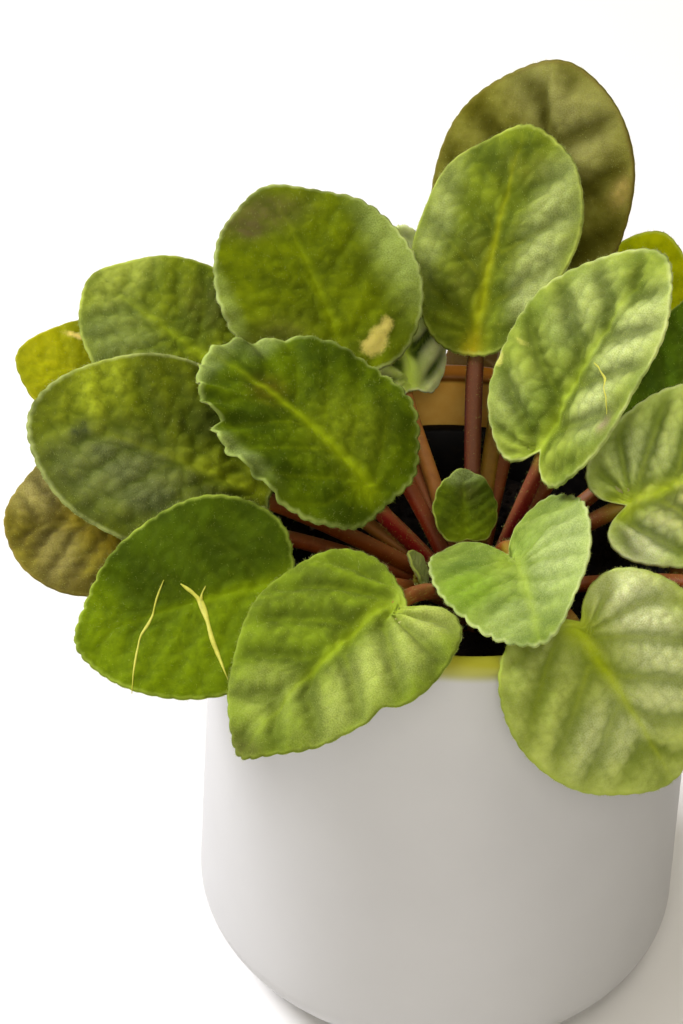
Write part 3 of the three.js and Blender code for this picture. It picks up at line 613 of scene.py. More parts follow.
         look=dict(shade="#7f8e24", flesh="#aebc50", vein="#aebe06", blotchAndShadow="#7a8830", freshLightAndShade="#6e7e00",
                   hairSheen="#dee4b2", rim="#8c9c2e", furrow="#5a6c08", fuzz=0.45, veinShow=0.6, furrowShow=0.6),
         # the pale patches at x = -15 and x = -13 are painted light on the lit part; the dark marks near the
         # base at x = 1 and x = 8 are painted shadow cast by the young centre leaf
         marks=[("hairSheen", -15, 8, 8, 12, 0.9), ("hairSheen", -13, 28, 11, 12, 0.6), ("freshLightAndShade", 1, 9, 6, 11, 1.0),
                ("blotchAndShadow", 8, 2, 10, 7, 0.7), ("hairSheen", 8, 30, 12, 8, 0.5)]),
    dict(name="leaf_right_low", at=(66, -34, 158), azimuth=336, pitch=-7, roll=0, length=44, width=35,
         droop=26, cup=0.03, egg=0.1, lobe=0.12, sweep=2, quilt=0.9),
    dict(name="leaf_back_low", at=(16, 70, 153), azimuth=88, pitch=-65, roll=3, length=46, width=46,
         droop=24, cup=0.03, egg=0.1, lobe=0.12, sweep=-2, quilt=0.8, hidden=True,
         look=dict(shade="#63400f", flesh="#6f4f18", vein="#80622a", hairSheen="#8b703e", rim="#7c642c",
                   under="#6a5020", fuzz=0.1)),
    dict(name="leaf_back_left_low", at=(-34, 58, 158), azimuth=124, pitch=-2, roll=-8, length=48, width=43,
         droop=24, cup=0.03, egg=0.1, lobe=0.12, sweep=2, quilt=0.8, hidden=True),
    dict(name="leaf_centre_young", at=(11, -19, 154), azimuth=283, pitch=19, roll=-22, length=46, width=41,
         droop=21, cup=0.21, egg=0.14, lobe=0.21, sweep=4, point=0.06, quilt=0.6, joint=(3, 14),
         cleft=(2.98, 14, 0.2), fold=2.2, crenate=1.2, pucker=0.9,
         look=dict(shade="#4f6508", flesh="#778e26", vein="#96ac30", hairSheen="#b3c17e", freshLightAndShade="#6f9002",
                   blotchAndShadow="#3c5604", rim="#c4ce90", furrow="#3c5204", fuzz=0.45, veinShow=0.4,
                   furrowShow=0.7),
         # the large pale patch on the x < 0 half is painted sheen where that half faces the light
         marks=[("hairSheen", -12, 24, 13, 18, 0.75), ("hairSheen", 6, 38, 8, 8, 0.4), ("freshLightAndShade", 13, 22, 7, 9, 0.9),
                ("blotchAndShadow", 12, 12, 6, 4, 0.7), ("freshLightAndShade", -4, 10, 5, 4, 0.6), ("blotchAndShadow", 8, 30, 3, 4, 0.4)]),
    dict(name="leaf_centre_small", at=(2, -6, 141), azimuth=103, pitch=48, roll=-1, length=18, width=16,
         droop=24, egg=0.07, lobe=0.11, sweep=1, quilt=0.5, wave=0.5, crenate=1.4, stalk="#7f6422",
         look=dict(shade="#3a4900", flesh="#5c6e02", vein="#748a0c", hairSheen="#8f9f60", fuzz=0.12,
                   veinShow=0.4),
         marks=[("blotchAndShadow", 1, 12, 3, 3, 0.6), ("hairSheen", 0, 17, 6, 2.5, 0.8)]),
    dict(name="leaf_crown_tiny", at=(-7, -22, 138), azimuth=180, pitch=70, roll=0, length=11, width=9,
         droop=15, cup=0.1, egg=0.1, lobe=0.04, sweep=0, quilt=0.2, wave=0.2, fold=0.5, stalk="#7c7c35",
         look=dict(shade="#5a6a2c", flesh="#7c8850", vein="#8c965c", fuzz=0.7)),
]
leaves = [{**plainBlade, **leaf, "look": {**bladeLook, **leaf.get("look", {})}} for leaf in leaves]


def bladeAxes(leaf):
    # the directions across, along and out of the blade at its base
    azimuth, pitch, roll = (math.radians(leaf[key]) for key in ("azimuth", "pitch", "roll"))
    ahead = np.array([math.cos(azimuth), math.sin(azimuth), 0])
    along = math.cos(pitch) * ahead + [0, 0, math.sin(pitch)]
    level = np.array([math.sin(azimuth), -math.cos(azimuth), 0])
    upright = np.cross(level, along)
    across = level * math.cos(roll) + upright * math.sin(roll)
    return across, along, upright * math.cos(roll) - level * math.sin(roll)


def bladePoint(leaf, x, y, lift):
    # where a point of the flat blade lies once the blade droops
    across, along, out = bladeAxes(leaf)
    bend = math.radians(leaf["droop"]) / leaf["length"]
    run = np.maximum(y, 0)
    turn = bend * run
    shift = x + leaf["sweep"] * (run / leaf["length"]) ** 2
    forward = np.where(y > 0, np.sin(turn) / bend, y) + lift * np.sin(turn)
    up = np.where(y > 0, (np.cos(turn) - 1) / bend, 0) + lift * np.cos(turn)
    return np.array(leaf["at"]) + shift[..., None] * across + forward[..., None] * along + up[..., None] * out


def bladeTurned(leaf, y):
    # the directions across, along and out of the drooped blade at y
    across, along, out = bladeAxes(leaf)
    turn = (math.radians(leaf["droop"]) / leaf["length"] * np.maximum(y, 0))[..., None]
    return across, along * np.cos(turn) - out * np.sin(turn), along * np.sin(turn) + out * np.cos(turn)


def bladeMiddle(leaf):
    return leaf["length"] * (1 - leaf["lobe"]) / 2


def bladeEdge(leaf, turn, proud=0.0):
    # the edge as x and y from the blade's middle: an egg with a point, a sinus, scallops, notches and a cleft
    f = bladeForm
    span = leaf["length"] * (1 + leaf["lobe"]) / 2
    point = leaf["point"] * leaf["length"] * hump(turn, f["tipReach"])
    sinus = f["sinusDepth"] * leaf["lobe"] * leaf["length"] * hump(math.pi - np.abs(turn), f["sinusReach"])
    teeth = round(math.pi * (leaf["length"] + leaf["width"]) / 2 / f["toothStep"])
    wander = 0.35 * np.sin(3 * turn + leaf["azimuth"]) + 0.2 * np.sin(5 * turn + leaf["roll"])
    scallop = np.abs(np.sin(teeth / 2 * turn + wander)) ** 0.7
    uneven = 0.8 + 0.3 * np.sin(2 * turn + leaf["pitch"])
    depth = min(f["toothDepth"], leaf["width"] / 50) * leaf["crenate"] * uneven
    cut = sum(deep * hump(turn - at, wide) for at, deep, wide in leaf["notches"])
    stretch = 1 + 2 * (depth * scallop + proud - cut) / leaf["width"]
    x = leaf["width"] / 2 * np.sin(turn) * (1 - leaf["egg"] * np.cos(turn)) * stretch
    y = span * np.cos(turn) * stretch + point + sinus
    if leaf["cleft"]:
        at, deep, wide = leaf["cleft"]
        away = (turn - at + math.pi) % (2 * math.pi) - math.pi
        inward = deep * hump(away, wide, 1.5) / np.maximum(np.hypot(x, y), 1)
        x, y = x * (1 - inward), y * (1 - inward)
    return x, y


def softNoise(x, y, size, seed):
    # smooth noise in -1 to 1 from a few turned waves
    total = np.zeros_like(x)
    for i in range(5):
        angle = seed + 2.4 * i
        slant = x * math.cos(angle) + y * math.sin(angle)
        total += np.sin(slant / size * (1 + 0.35 * i) + 1.7 * seed * (i + 1))
    return total / 5


def veinField(leaf, x, y):
    # how many side veins lie between here and the joint, the gap between veins here, and how far
    # the nearest one is
    f = bladeForm
    x, y = x - leaf["joint"][0] * np.exp(-y / 15), y - leaf["joint"][1]
    sideways = np.abs(x)
    gap = f["veinSpacing"] * leaf["length"] * leaf["veinGap"]
    wander = 0.9 * softNoise(x, y, 8, leaf["azimuth"] / 57)
    wander += 0.3 * np.sign(x) * np.minimum(sideways / 3, 1) * gap
    ahead = y - f["veinLean"] * sideways - f["veinArch"] * sideways ** 2 + wander
    # behind the joint the veins fan out from it
    spread = np.maximum(np.hypot(x, y) * math.radians(f["baseVein"]), 1.5)
    width = np.where(ahead > 0, gap, np.minimum(spread, gap))
    count, gap = ahead / width, 0.8 * width
    return count, gap, np.abs((count + 0.5) % 1 - 0.5) * gap


def ribFade(leaf, y, power):
    # 1 near the base and 0 at the tip
    return np.clip(1 - y / leaf["length"], 0, 1) ** power * np.clip((y + 3) / 7, 0, 1)


def cellRelief(leaf, x, y):
    # puffs between the smallest veins: 0 along the cells' edges, 1 in their middles
    step = bladeForm["cellStep"] * leaf["length"]
    local = np.random.default_rng(int(leaf["azimuth"] * 10 + leaf["length"]))
    i, j = np.meshgrid(np.arange(-9, 10), np.arange(-4, 20), indexing="ij")
    centres = (np.stack([i, j], -1).reshape(-1, 2) + local.uniform(-0.38, 0.38, (i.size, 2))) * step
    centres = centres[(np.abs(centres[:, 0]) < leaf["width"] * 0.6)]
    away = np.hypot(x[..., None] - centres[:, 0], y[..., None] - centres[:, 1])
    nearest = np.partition(away, 1, axis=-1)
    return np.clip((nearest[..., 1] - nearest[..., 0]) / (0.75 * step), 0, 1)


def bladeLift(leaf, x, y, reach, turn):
    # cupped sides, puffs between the veins, the midrib's valley and a wavy or ruffled margin
    f = bladeForm
    side = 2 * np.abs(x) / leaf["width"]
    count, _, _ = veinField(leaf, x, y)
    puff = np.sqrt(np.sin(math.pi * count) ** 2 + 0.08) - 0.6
    cup = leaf["cup"] * side ** 2 * leaf["width"] / 2
    seated = 1 - hump(math.pi - np.abs(turn), f["calm"])
    margin = leaf["wave"] * seated * reach ** 3 * np.sin(f["waves"] * turn + leaf["azimuth"])
    for at, wide, height in leaf["ruffles"]:
        margin += height * hump(turn - at, wide) * reach ** 5 * np.sin(21 * turn + 2 * leaf["azimuth"])
    body = f["puffGain"] * leaf["quilt"] * puff * reach ** 0.7 * (1 - reach ** 6)
    cellHeight = leaf["pucker"] * (0.15 + 0.4 * leaf["quilt"])
    cells = cellHeight * (cellRelief(leaf, x, y) - 0.5) * (1 - reach ** 10)
    swell = f["swell"] * softNoise(x, y, 9, leaf["pitch"] + 1) * reach * (1 - reach ** 8)
    valley = 0.35 - hump(x, f["valleyWide"] * leaf["width"], 1.4)
    valley = leaf["fold"] * valley * ribFade(leaf, y, 0.35) * (1 - 0.7 * reach ** 12)
    groove = -f["groove"] * hump(x, 1.0) * ribFade(leaf, y, 0.6)
    creaseAt, slope = leaf["crease"]
    crease = slope * np.maximum(x - creaseAt, 0)
    return cup + body + cells + swell + valley + groove + crease + margin


def sturdiness(leaf):
    return min(1, bladeForm["youngest"] + leaf["length"] / bladeForm["fullLength"])


def toneAt(leaf, kind, x, y):
    # soft patches with fairly flat middles
    total = np.zeros_like(x)
    for tone, cx, cy, wide, long, strength in leaf["marks"]:
        if tone == kind:
            away = ((x - cx) / wide) ** 2 + ((y - cy) / long) ** 2
            total += strength * hump(away, 1, 1.4)
    return np.clip(total, 0, 1)


def veinTone(leaf, x, y, reach):
    # how much of the veins' own colour shows: a broad midrib, side veins and their meeting point
    jointX, jointY = leaf["joint"]
    _, _, away = veinField(leaf, x, y)
    share = np.clip((y - jointY) / leaf["length"], 0, 1)
    midribWide = 0.45 + 1.9 * (1 - share) ** 1.5
    midrib = hump(x, midribWide, 1.6) * (1 - share ** 2) * np.clip((y - jointY + 4) / 4, 0, 1)
    side = 0.5 * hump(away, 0.6) * (1 - 0.9 * reach) * np.clip(1.2 - 1.6 * share, 0, 1)
    meeting = 0.9 * hump(np.hypot((x - jointX) / 4, (y - jointY) / 5), 1)
    return np.clip(np.maximum(np.maximum(midrib, side), meeting), 0, 1)


def furrowTone(leaf, x, y, reach):
    # painted shade in the furrows over the side veins, round each small cell and beside the midrib, where
    # less light falls
    _, gap, away = veinField(leaf, x, y)
    side = hump(away, 0.24 * gap) * (1 - reach ** 8) * np.clip(np.hypot(x, y) / 8, 0, 1)
    cells = leaf["pucker"] * (1 - cellRelief(leaf, x, y)) ** 3 * (1 - reach ** 12)
    beside = hump(np.abs(x) - 2.6, 1.5) * ribFade(leaf, y, 0.8) * leaf["fold"] / 4
    return np.clip(0.8 * leaf["quilt"] * side + 0.35 * cells + beside, 0, 1)


def leafSkin(leaf):
    # leaf skin: velvety, so it has no mirror shine, and light from behind comes through it yellow-green;
    # the hair's speckle is near 0.1 mm in life, drawn at 0.4 mm so that it shows
    look = leaf["look"]
    material, tree, _ = startMaterial("leafSkin_" + leaf["name"][5:])
    plane, tones, traits = (addNode(tree, "Attribute", attribute_name=name).outputs["Vector"]
                            for name in ("bladePlace", "tones", "traits"))
    furrow = addNode(tree, "Attribute", attribute_name="furrow").outputs["Fac"]
    blotchAndShadowTone, freshLightAndShadeTone, hairSheenTone = addNode(tree, "SeparateXYZ", {0: tones}).outputs
    veins, dryTone, underside = addNode(tree, "SeparateXYZ", {0: traits}).outputs
    reach = addNode(tree, "SeparateXYZ", {0: plane}).outputs[2]
    flat = addNode(tree, "VectorMath", {0: plane, 1: (1, 1, 0)}, **times)
    seed = addNode(tree, "VectorMath", {0: flat, 1: (leaf["azimuth"], leaf["length"], 0)}, operation="ADD")
    patches, mottle, fine = (
        addNode(tree, "TexNoise", {"Vector": seed, "Scale": 1 / wide, "Detail": detail, "Roughness": rough})
        for wide, detail, rough in ((11, 3, 0.5), (2.4, 3, 0.6), (0.4, 2, 0.65)))
    # tissue: broad patches of deep and lighter green, a little broken up
    tissue = addNode(tree, "Math", {0: mottle, 1: 0.35, 2: patches}, **timesAdd)
    tissueShare = addNode(tree, "MapRange", {0: tissue, 1: 0.5, 2: 0.85}, **smooth)
    broken = addNode(tree, "MapRange", {0: mottle, 1: 0.3, 2: 0.7, 3: 0.6, 4: 1.3})
    # the bright green and dark marks, broken up a little: partly the leaf's own tints, partly painted light
    # shining through the blade and painted shadow
    freshLightAndShadeShare, blotchAndShadowShare = (addNode(tree, "Math", {0: tone, 1: broken}, use_clamp=True, **times)
                               for tone in (freshLightAndShadeTone, blotchAndShadowTone))
    # the hair's pale bloom, thin all over and in patches of painted sheen where the light falls, broken into
    # a fine speckle
    hairSheenAll = addNode(tree, "Math", {0: hairSheenTone, 1: 0.85, 2: 0.3 * look["fuzz"]}, **timesAdd)
    speckle = addNode(tree, "MapRange", {0: fine, 1: 0.36, 2: 0.62, 3: 0.55, 4: 1}, **smooth)
    hairSheenShare = addNode(tree, "Math", {0: hairSheenAll, 1: speckle}, use_clamp=True, **times)
    furrowShare = addNode(tree, "Math", {0: furrow, 1: look["furrowShow"]}, **times)
    veinShare = addNode(tree, "Math", {0: veins, 1: look["veinShow"]}, **times)
    # painted rim light: the thin margin lit from behind, unevenly
    margin = addNode(tree, "MapRange", {0: reach, 1: 1 - look["rimLightWide"], 2: 1.0}, **smooth)
    uneven = addNode(tree, "MapRange", {0: tissue, 1: 0.5, 2: 0.85, 3: 0.2, 4: 1})
    rimLightShare = addNode(tree, "Math", {0: margin, 1: uneven}, **times)
    rimLightShare = addNode(tree, "Math", {0: rimLightShare, 1: look["rimLightShow"]}, **times)
    dryEdge = addNode(tree, "Math", {0: mottle, 1: 0.9, 2: dryTone}, **timesAdd)
    dryEdge = addNode(tree, "Math", {0: fine, 1: 0.5, 2: dryEdge}, **timesAdd)
    dryShare = addNode(tree, "MapRange", {0: dryEdge, 1: 0.85, 2: 1.7, 3: 0, 4: 0.9}, **smooth)
    # the underside is paler, with tan veins and browner patches
    below = addNode(tree, "Mix", {0: veins, 6: look["under"], 7: look["underVein"]}, **rgba)
    belowShare = addNode(tree, "MapRange", {0: mottle, 1: 0.35, 2: 0.7, 3: 0, 4: 0.3})
    below = addNode(tree, "Mix", {0: belowShare, 6: below, 7: look["underPatch"]}, **rgba)
    colour = look["shade"]
    for share, over in ((tissueShare, look["flesh"]), (freshLightAndShadeShare, look["freshLightAndShade"]),
                        (blotchAndShadowShare, look["blotchAndShadow"]), (hairSheenShare, look["hairSheen"]),
                        (furrowShare, look["furrow"]), (veinShare, look["vein"]),
                        (rimLightShare, look["rim"]), (dryShare, look["dry"]), (underside, below)):
        colour = addNode(tree, "Mix", {0: share, 6: colour, 7: over}, **rgba)
    pile = addNode(tree, "Math", {0: fine, 1: 0.5, 2: mottle}, **timesAdd)
    relief = addNode(tree, "Bump", {"Height": pile, "Strength": 0.8, "Distance": 0.3 * mm})
    finishMaterial(tree, {"Base Color": colour, "Normal": relief, "Roughness": 0.6, "IOR": 1.4,
                          "Specular IOR Level": 0.03, "Subsurface Weight": 0.35,
                          "Subsurface Radius": (0.5, 0.7, 0.1), "Subsurface Scale": mm,
                          "Sheen Weight": 0.25 * look["fuzz"], "Sheen Roughness": 0.45,
                          "Sheen Tint": look["sheen"]})
    return material


def placeOnBlade(leaf, x, y):
    # the share of the way to the edge, and the turn round the middle, of a point of the flat blade
    middle = bladeMiddle(leaf)
    turn = np.arctan2(x / leaf["width"], (y - middle) / leaf["length"])
    for _ in range(3):
        edgeX, edgeY = bladeEdge(leaf, turn)
        turn = turn + np.arctan2(x, y - middle) - np.arctan2(edgeX, edgeY)
        turn = (turn + math.pi) % (2 * math.pi) - math.pi
    edgeX, edgeY = bladeEdge(leaf, turn)
    return np.clip(np.hypot(x, y - middle) / np.hypot(edgeX, edgeY), 0, 1), turn


def scarStrip(leaf, route, widest, firstPoint):
    # a raised callus along a scratch: a thin half tube that tapers at both ends
    control = np.array(route, float)
    share = np.linspace(0, len(control) - 1, 8 * (len(control) - 1) + 1)
    px, py = (np.interp(share, np.arange(len(control)), control[:, i]) for i in (0, 1))
    evenly = np.ones(5) / 5
    px, py = (np.convolve(np.pad(v, 2, mode="edge"), evenly, "valid") for v in (px, py))
    dx, dy = np.gradient(px), np.gradient(py)
    size = np.hypot(dx, dy)
    t = np.linspace(0, 1, len(px))
    half = widest / 2 * np.sin(math.pi * np.clip(t, 0.03, 0.97)) ** 0.6 * (1 + 0.25 * np.sin(17 * t))
    rows = []
    for offset, rise in ((-1, -0.15), (-0.6, 0.12), (0, 0.22), (0.6, 0.12), (1, -0.15), (0, -0.3)):
        x, y = px + offset * half * dy / size, py - offset * half * dx / size
        reach, turn = placeOnBlade(leaf, x, y)
        rows.append(bladePoint(leaf, x, y, bladeLift(leaf, x, y, reach, turn) + rise))
    points = np.stack(rows, 1).reshape(-1, 3)
    sides = len(rows)
    i = np.arange(1, sides - 1)
    fan = np.stack([0 * i, i + 1, i], -1)
    ends = np.concatenate([fan, fan[:, ::-1] + (len(px) - 1) * sides]) + firstPoint
    return points, latheFaces(len(px), sides) + firstPoint, ends


def bladeSheet(leaf, reachValues, turns, proud, face):
    # rings of points at each reach; face 1 is the upper skin, 0 the margin's middle and -1 the underside
    reach, turn = np.meshgrid(reachValues, turns, indexing="ij")
    edgeX, edgeY = bladeEdge(leaf, turn, proud)
    x, y = edgeX * reach, bladeMiddle(leaf) + edgeY * reach
    lift = bladeLift(leaf, x, y, reach, turn)
    thick = bladeForm["middle"] * sturdiness(leaf)
    thickness = thick + (min(bladeForm["margin"], thick) - thick) * reach ** 2
    if face == -1:
        _, _, away = veinField(leaf, x, y)
        ridge = sturdiness(leaf) * hump(x, 1.3) * ribFade(leaf, y, 0.5)
        ridge += 0.4 * hump(away, 0.6) * (1 - reach ** 2) * np.minimum(reach * 3, 1)
        lift = lift - thickness - ridge * (1 - reach ** 8)
    elif face == 0:
        lift = lift - 0.5 * thickness
    return x.ravel(), y.ravel(), reach.ravel(), lift.ravel()


def bladeHairs(leaf, firstPoint, share):
    # hairs on both faces and along the margin, each rooted at its own depth under the upper skin
    rootList, directionList, lengthList = [], [], []
    for kind, depth in (("upper", 0), ("under", 1.0), ("margin", 0.3)):
        onMargin = kind == "margin"
        count = int(hairSize[kind] * (share ** 0.5 if onMargin else share))
        turn = rng.uniform(-np.pi, np.pi, count)
        reach = np.ones(count) if onMargin else np.sqrt(rng.uniform(0, 0.97, count))
        edgeX, edgeY = bladeEdge(leaf, turn)
        x, y = edgeX * reach, bladeMiddle(leaf) + edgeY * reach
        lift = bladeLift(leaf, x, y, reach, turn) - depth
        across, along, out = bladeTurned(leaf, y)
        outward = across * np.sin(turn)[:, None] + along * np.cos(turn)[:, None]
        direction = {"upper": out + 0.15 * along, "under": -out, "margin": outward + 0.35 * out}[kind]
        rootList.append(bladePoint(leaf, x, y, lift))
        directionList.append(unitRows(direction + rng.normal(0, 0.3, (count, 3))))
        length = hairSize["marginLength" if onMargin else "length"] * sturdiness(leaf)
        lengthList.append(length * rng.uniform(0.6, 1.25, count))
    return addHairs(*(np.concatenate(part) for part in (rootList, directionList, lengthList)), firstPoint)


def buildBlade(leaf, callus):
    # larger blades have more faces; the hidden ones have fewer, and fewer hairs
    f = bladeForm
    area = leaf["length"] * leaf["width"] / f["plainArea"]
    detail = f["hiddenDetail"] if leaf["hidden"] else min(1, max(0.4, area ** 0.5))
    sectors = int(f["sectors"] * detail)
    rings = int(f["rings"] * detail)
    belowRings = max(6, int(f["belowRings"] * detail))
    turns = anglesRound(sectors) - np.pi
    upperReach = np.concatenate([np.linspace(0, 1, rings + 1)[1:-1], [f["lastRing"]]])
    belowReach = np.linspace(0, f["lastRing"], belowRings + 1)[1:][::-1]
    sheets = [bladeSheet(leaf, upperReach, turns, 0, 1), bladeSheet(leaf, [1.0], turns, 0.1, 0),
              bladeSheet(leaf, belowReach, turns, 0, -1)]
    x, y, reach, lift = (np.concatenate([sheet[i] for sheet in sheets]) for i in range(4))
    middle = bladeMiddle(leaf)
    centreLift = float(bladeLift(leaf, np.zeros(1), np.full(1, middle), np.zeros(1), np.ones(1))[0])
    x, y = np.append(x, [0, 0]), np.append(y, [middle, middle])
    reach = np.append(reach, [0, 0])
    lift = np.append(lift, [centreLift, centreLift - (f["middle"] + f["midribThick"]) * sturdiness(leaf)])
    points = bladePoint(leaf, x, y, lift)
    upperRows = len(upperReach) + 1
    rows = upperRows + len(belowReach)
    below = np.zeros(len(x))
    below[upperRows * sectors:rows * sectors] = 1
    below[-1] = 1
    groups = [(latheFaces(rows, sectors), 0), (capFaces(rows * sectors, 0, sectors), 0),
              (capFaces(rows * sectors + 1, (rows - 1) * sectors, sectors, True), 0)]

    hairShare = area * (0.4 + 1.5 * leaf["look"]["fuzz"]) * (f["hiddenHairs"] if leaf["hidden"] else 1)
    hairPoints, hairFaces = bladeHairs(leaf, len(points), hairShare)
    allPoints = np.concatenate([points, hairPoints])
    groups.append((hairFaces, 1))
    for widest, route in leaf["scars"]:
        strip, faces, ends = scarStrip(leaf, route, widest, len(allPoints))
        allPoints = np.concatenate([allPoints, strip])
        groups += [(faces, 2), (ends, 2)]

    spare = np.zeros((len(allPoints) - len(x), 3))
    values = {"bladePlace": [x, y, reach],
              "tones": [toneAt(leaf, kind, x, y) for kind in ("blotchAndShadow", "freshLightAndShade", "hairSheen")],
              "traits": [veinTone(leaf, x, y, reach), toneAt(leaf, "dry", x, y), below],
              "furrow": [furrowTone(leaf, x, y, reach)] * 3}
    attributes = {key: np.concatenate([np.stack(parts, -1), spare]) for key, parts in values.items()}
    materials = [leafSkin(leaf), hair, callus]
    return newPiece("blade_" + leaf["name"][5:], allPoints, groups, materials, attributes)


callusLook = {"dull": "#9a9c14", "pale": "#c6c048"}
# callus: the dry cream skin that closes a scratch in a leaf
callus = mottledMaterial("callusTissue", 2, (callusLook["dull"], callusLook["pale"]),
                         {"Roughness": 0.6, "Subsurface Weight": 0.3,
                          "Subsurface Radius": (1.2, 1.1, 0.5), "Subsurface Scale": mm})
for leaf in leaves:
    blade = buildBlade(leaf, callus)
    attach(blade, "root")
    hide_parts(leaf["name"])
print("blades made:", len(leaves))


# the crown: a short stem and the petioles that grow from it, each in the colour that its leaf gives

stalkSize = {"stemRadius": 6.5, "stemTop": 126, "stemFoot": 100, "stemRound": 4, "stemTaper": 2,
             "stemLumpy": 0.05, "stemSides": 32, "start": 122, "radius": 2.2, "tuck": 2, "arch": 0.36,
             "startPull": 0.35, "endPull": 0.3, "steps": 30, "tailSteps": 12, "tailReach": 0.3,
             "sides": 20, "flat": 0.94, "groove": 0.14, "wobble": 0.04, "hairs": 320, "hairLength": 0.8}
stalkLook = {"stem": "#4a2a10", "low": "#3c0803", "tip": "#7a7410", "topHighlight": "#a8784a",
             "speckle": "#8a5426", "sheen": "#d8a060"}


def petioleSkin():
    # fleshy petiole: red-brown under a thin clear fuzz, darker at its foot, greener where it meets
    # the blade, and lighter along its top as painted highlight
    material, tree, place = startMaterial("petioleSkin")
    look = stalkLook
    tint = addNode(tree, "Attribute", attribute_name="petioleTint").outputs["Vector"]
    along = addNode(tree, "Attribute", attribute_name="petiolePlace").outputs["Vector"]
    share, upper, _ = addNode(tree, "SeparateXYZ", {0: along}).outputs
    mottle = addNode(tree, "TexNoise", {"Vector": place, "Scale": 1 / 3.5, "Detail": 3})
    fine = addNode(tree, "TexNoise", {"Vector": place, "Scale": 1 / 0.45, "Detail": 2})
    # the share along the upper side is a painted highlight
    foot, blush, near, edge, speckle = (
        addNode(tree, "MapRange", {0: value, 1: low, 2: high, 3: atLow, 4: atHigh}, **smooth)
        for value, low, high, atLow, atHigh in (
            (share, 0.0, 0.4, 0.5, 0), (mottle, 0.45, 0.7, 0, 0.3), (share, 0.85, 1.05, 0, 0.7),
            (upper, 0.25, 1.0, 0, 0.2), (fine, 0.55, 0.7, 0, 0.25)))
    darker = addNode(tree, "Math", {0: foot, 1: blush}, operation="MAXIMUM")
    colour = tint
    for cover, over in ((darker, "low"), (near, "tip"), (edge, "topHighlight"), (speckle, "speckle")):
        colour = addNode(tree, "Mix", {0: cover, 6: colour, 7: look[over]}, **rgba)
    relief = addNode(tree, "Bump", {"Height": fine, "Strength": 0.5, "Distance": 0.12 * mm})
    finishMaterial(tree, {"Base Color": colour, "Normal": relief, "Roughness": 0.5, "IOR": 1.4,
                          "Specular IOR Level": 0.2, "Subsurface Weight": 0.2,
                          "Subsurface Radius": (1.2, 0.4, 0.1), "Subsurface Scale": mm,
                          "Sheen Weight": 0.04, "Sheen Roughness": 0.5, "Sheen Tint": look["sheen"]})
    return material


def petioleRoute(leaf):
    # the petiole's centre line, radius and share of its length, on to where it fades into the midrib
    s = stalkSize
    across, along, out = bladeAxes(leaf)
    radius = s["radius"] * sturdiness(leaf)
    sink = -(bladeForm["base"] + s["radius"]) * sturdiness(leaf) - 0.3
    end = bladePoint(leaf, np.zeros(1), np.full(1, s["tuck"]), np.full(1, sink))[0]
    centre = np.array([*soilSize["crown"], s["start"]])
    away = np.array([end[0] - centre[0], end[1] - centre[1], 0])
    start = centre + away / np.linalg.norm(away) * s["stemRadius"] / 2
    length = np.linalg.norm(end - start)
    leaving = (end - start) / length + np.array([0, 0, s["arch"]])
    first = start + leaving / np.linalg.norm(leaving) * s["startPull"] * length
    last = end - along * min(leaf["hook"], s["endPull"] * length)
    t = np.linspace(0, 1, s["steps"] + 1)[:, None]
    line = (1 - t) ** 3 * start + 3 * (1 - t) ** 2 * t * first + 3 * (1 - t) * t ** 2 * last + t ** 3 * end
    sizes = radius * (1 + 0.25 * hump(t[:, 0], 0.12))
    # past its end it runs on under the blade, thins out from the joint and lies against the midrib
    run = np.linspace(0, 1, s["tailSteps"] + 1)[1:]
    jointY = leaf["joint"][1]
    fading = s["tailReach"] * leaf["length"]
    y = s["tuck"] + (max(jointY - s["tuck"], 0) + fading) * run
    past = np.clip((y - max(jointY, s["tuck"])) / fading, 0, 1)
    thinning = radius * (1 - 0.2 * run) * (1 - 0.75 * past)
    x = np.zeros_like(y)
    place, turn = placeOnBlade(leaf, x, y)
    under = bladeLift(leaf, x, y, place, turn) - bladeForm["middle"] * sturdiness(leaf) - 0.8 * thinning
    ease = np.clip(run * 2.5, 0, 1)
    tail = bladePoint(leaf, x, y, sink * (1 - ease) + under * ease)
    share = np.concatenate([t[:, 0], 1 + s["tailReach"] * run])
    return np.concatenate([line, tail]), np.concatenate([sizes, thinning]), share


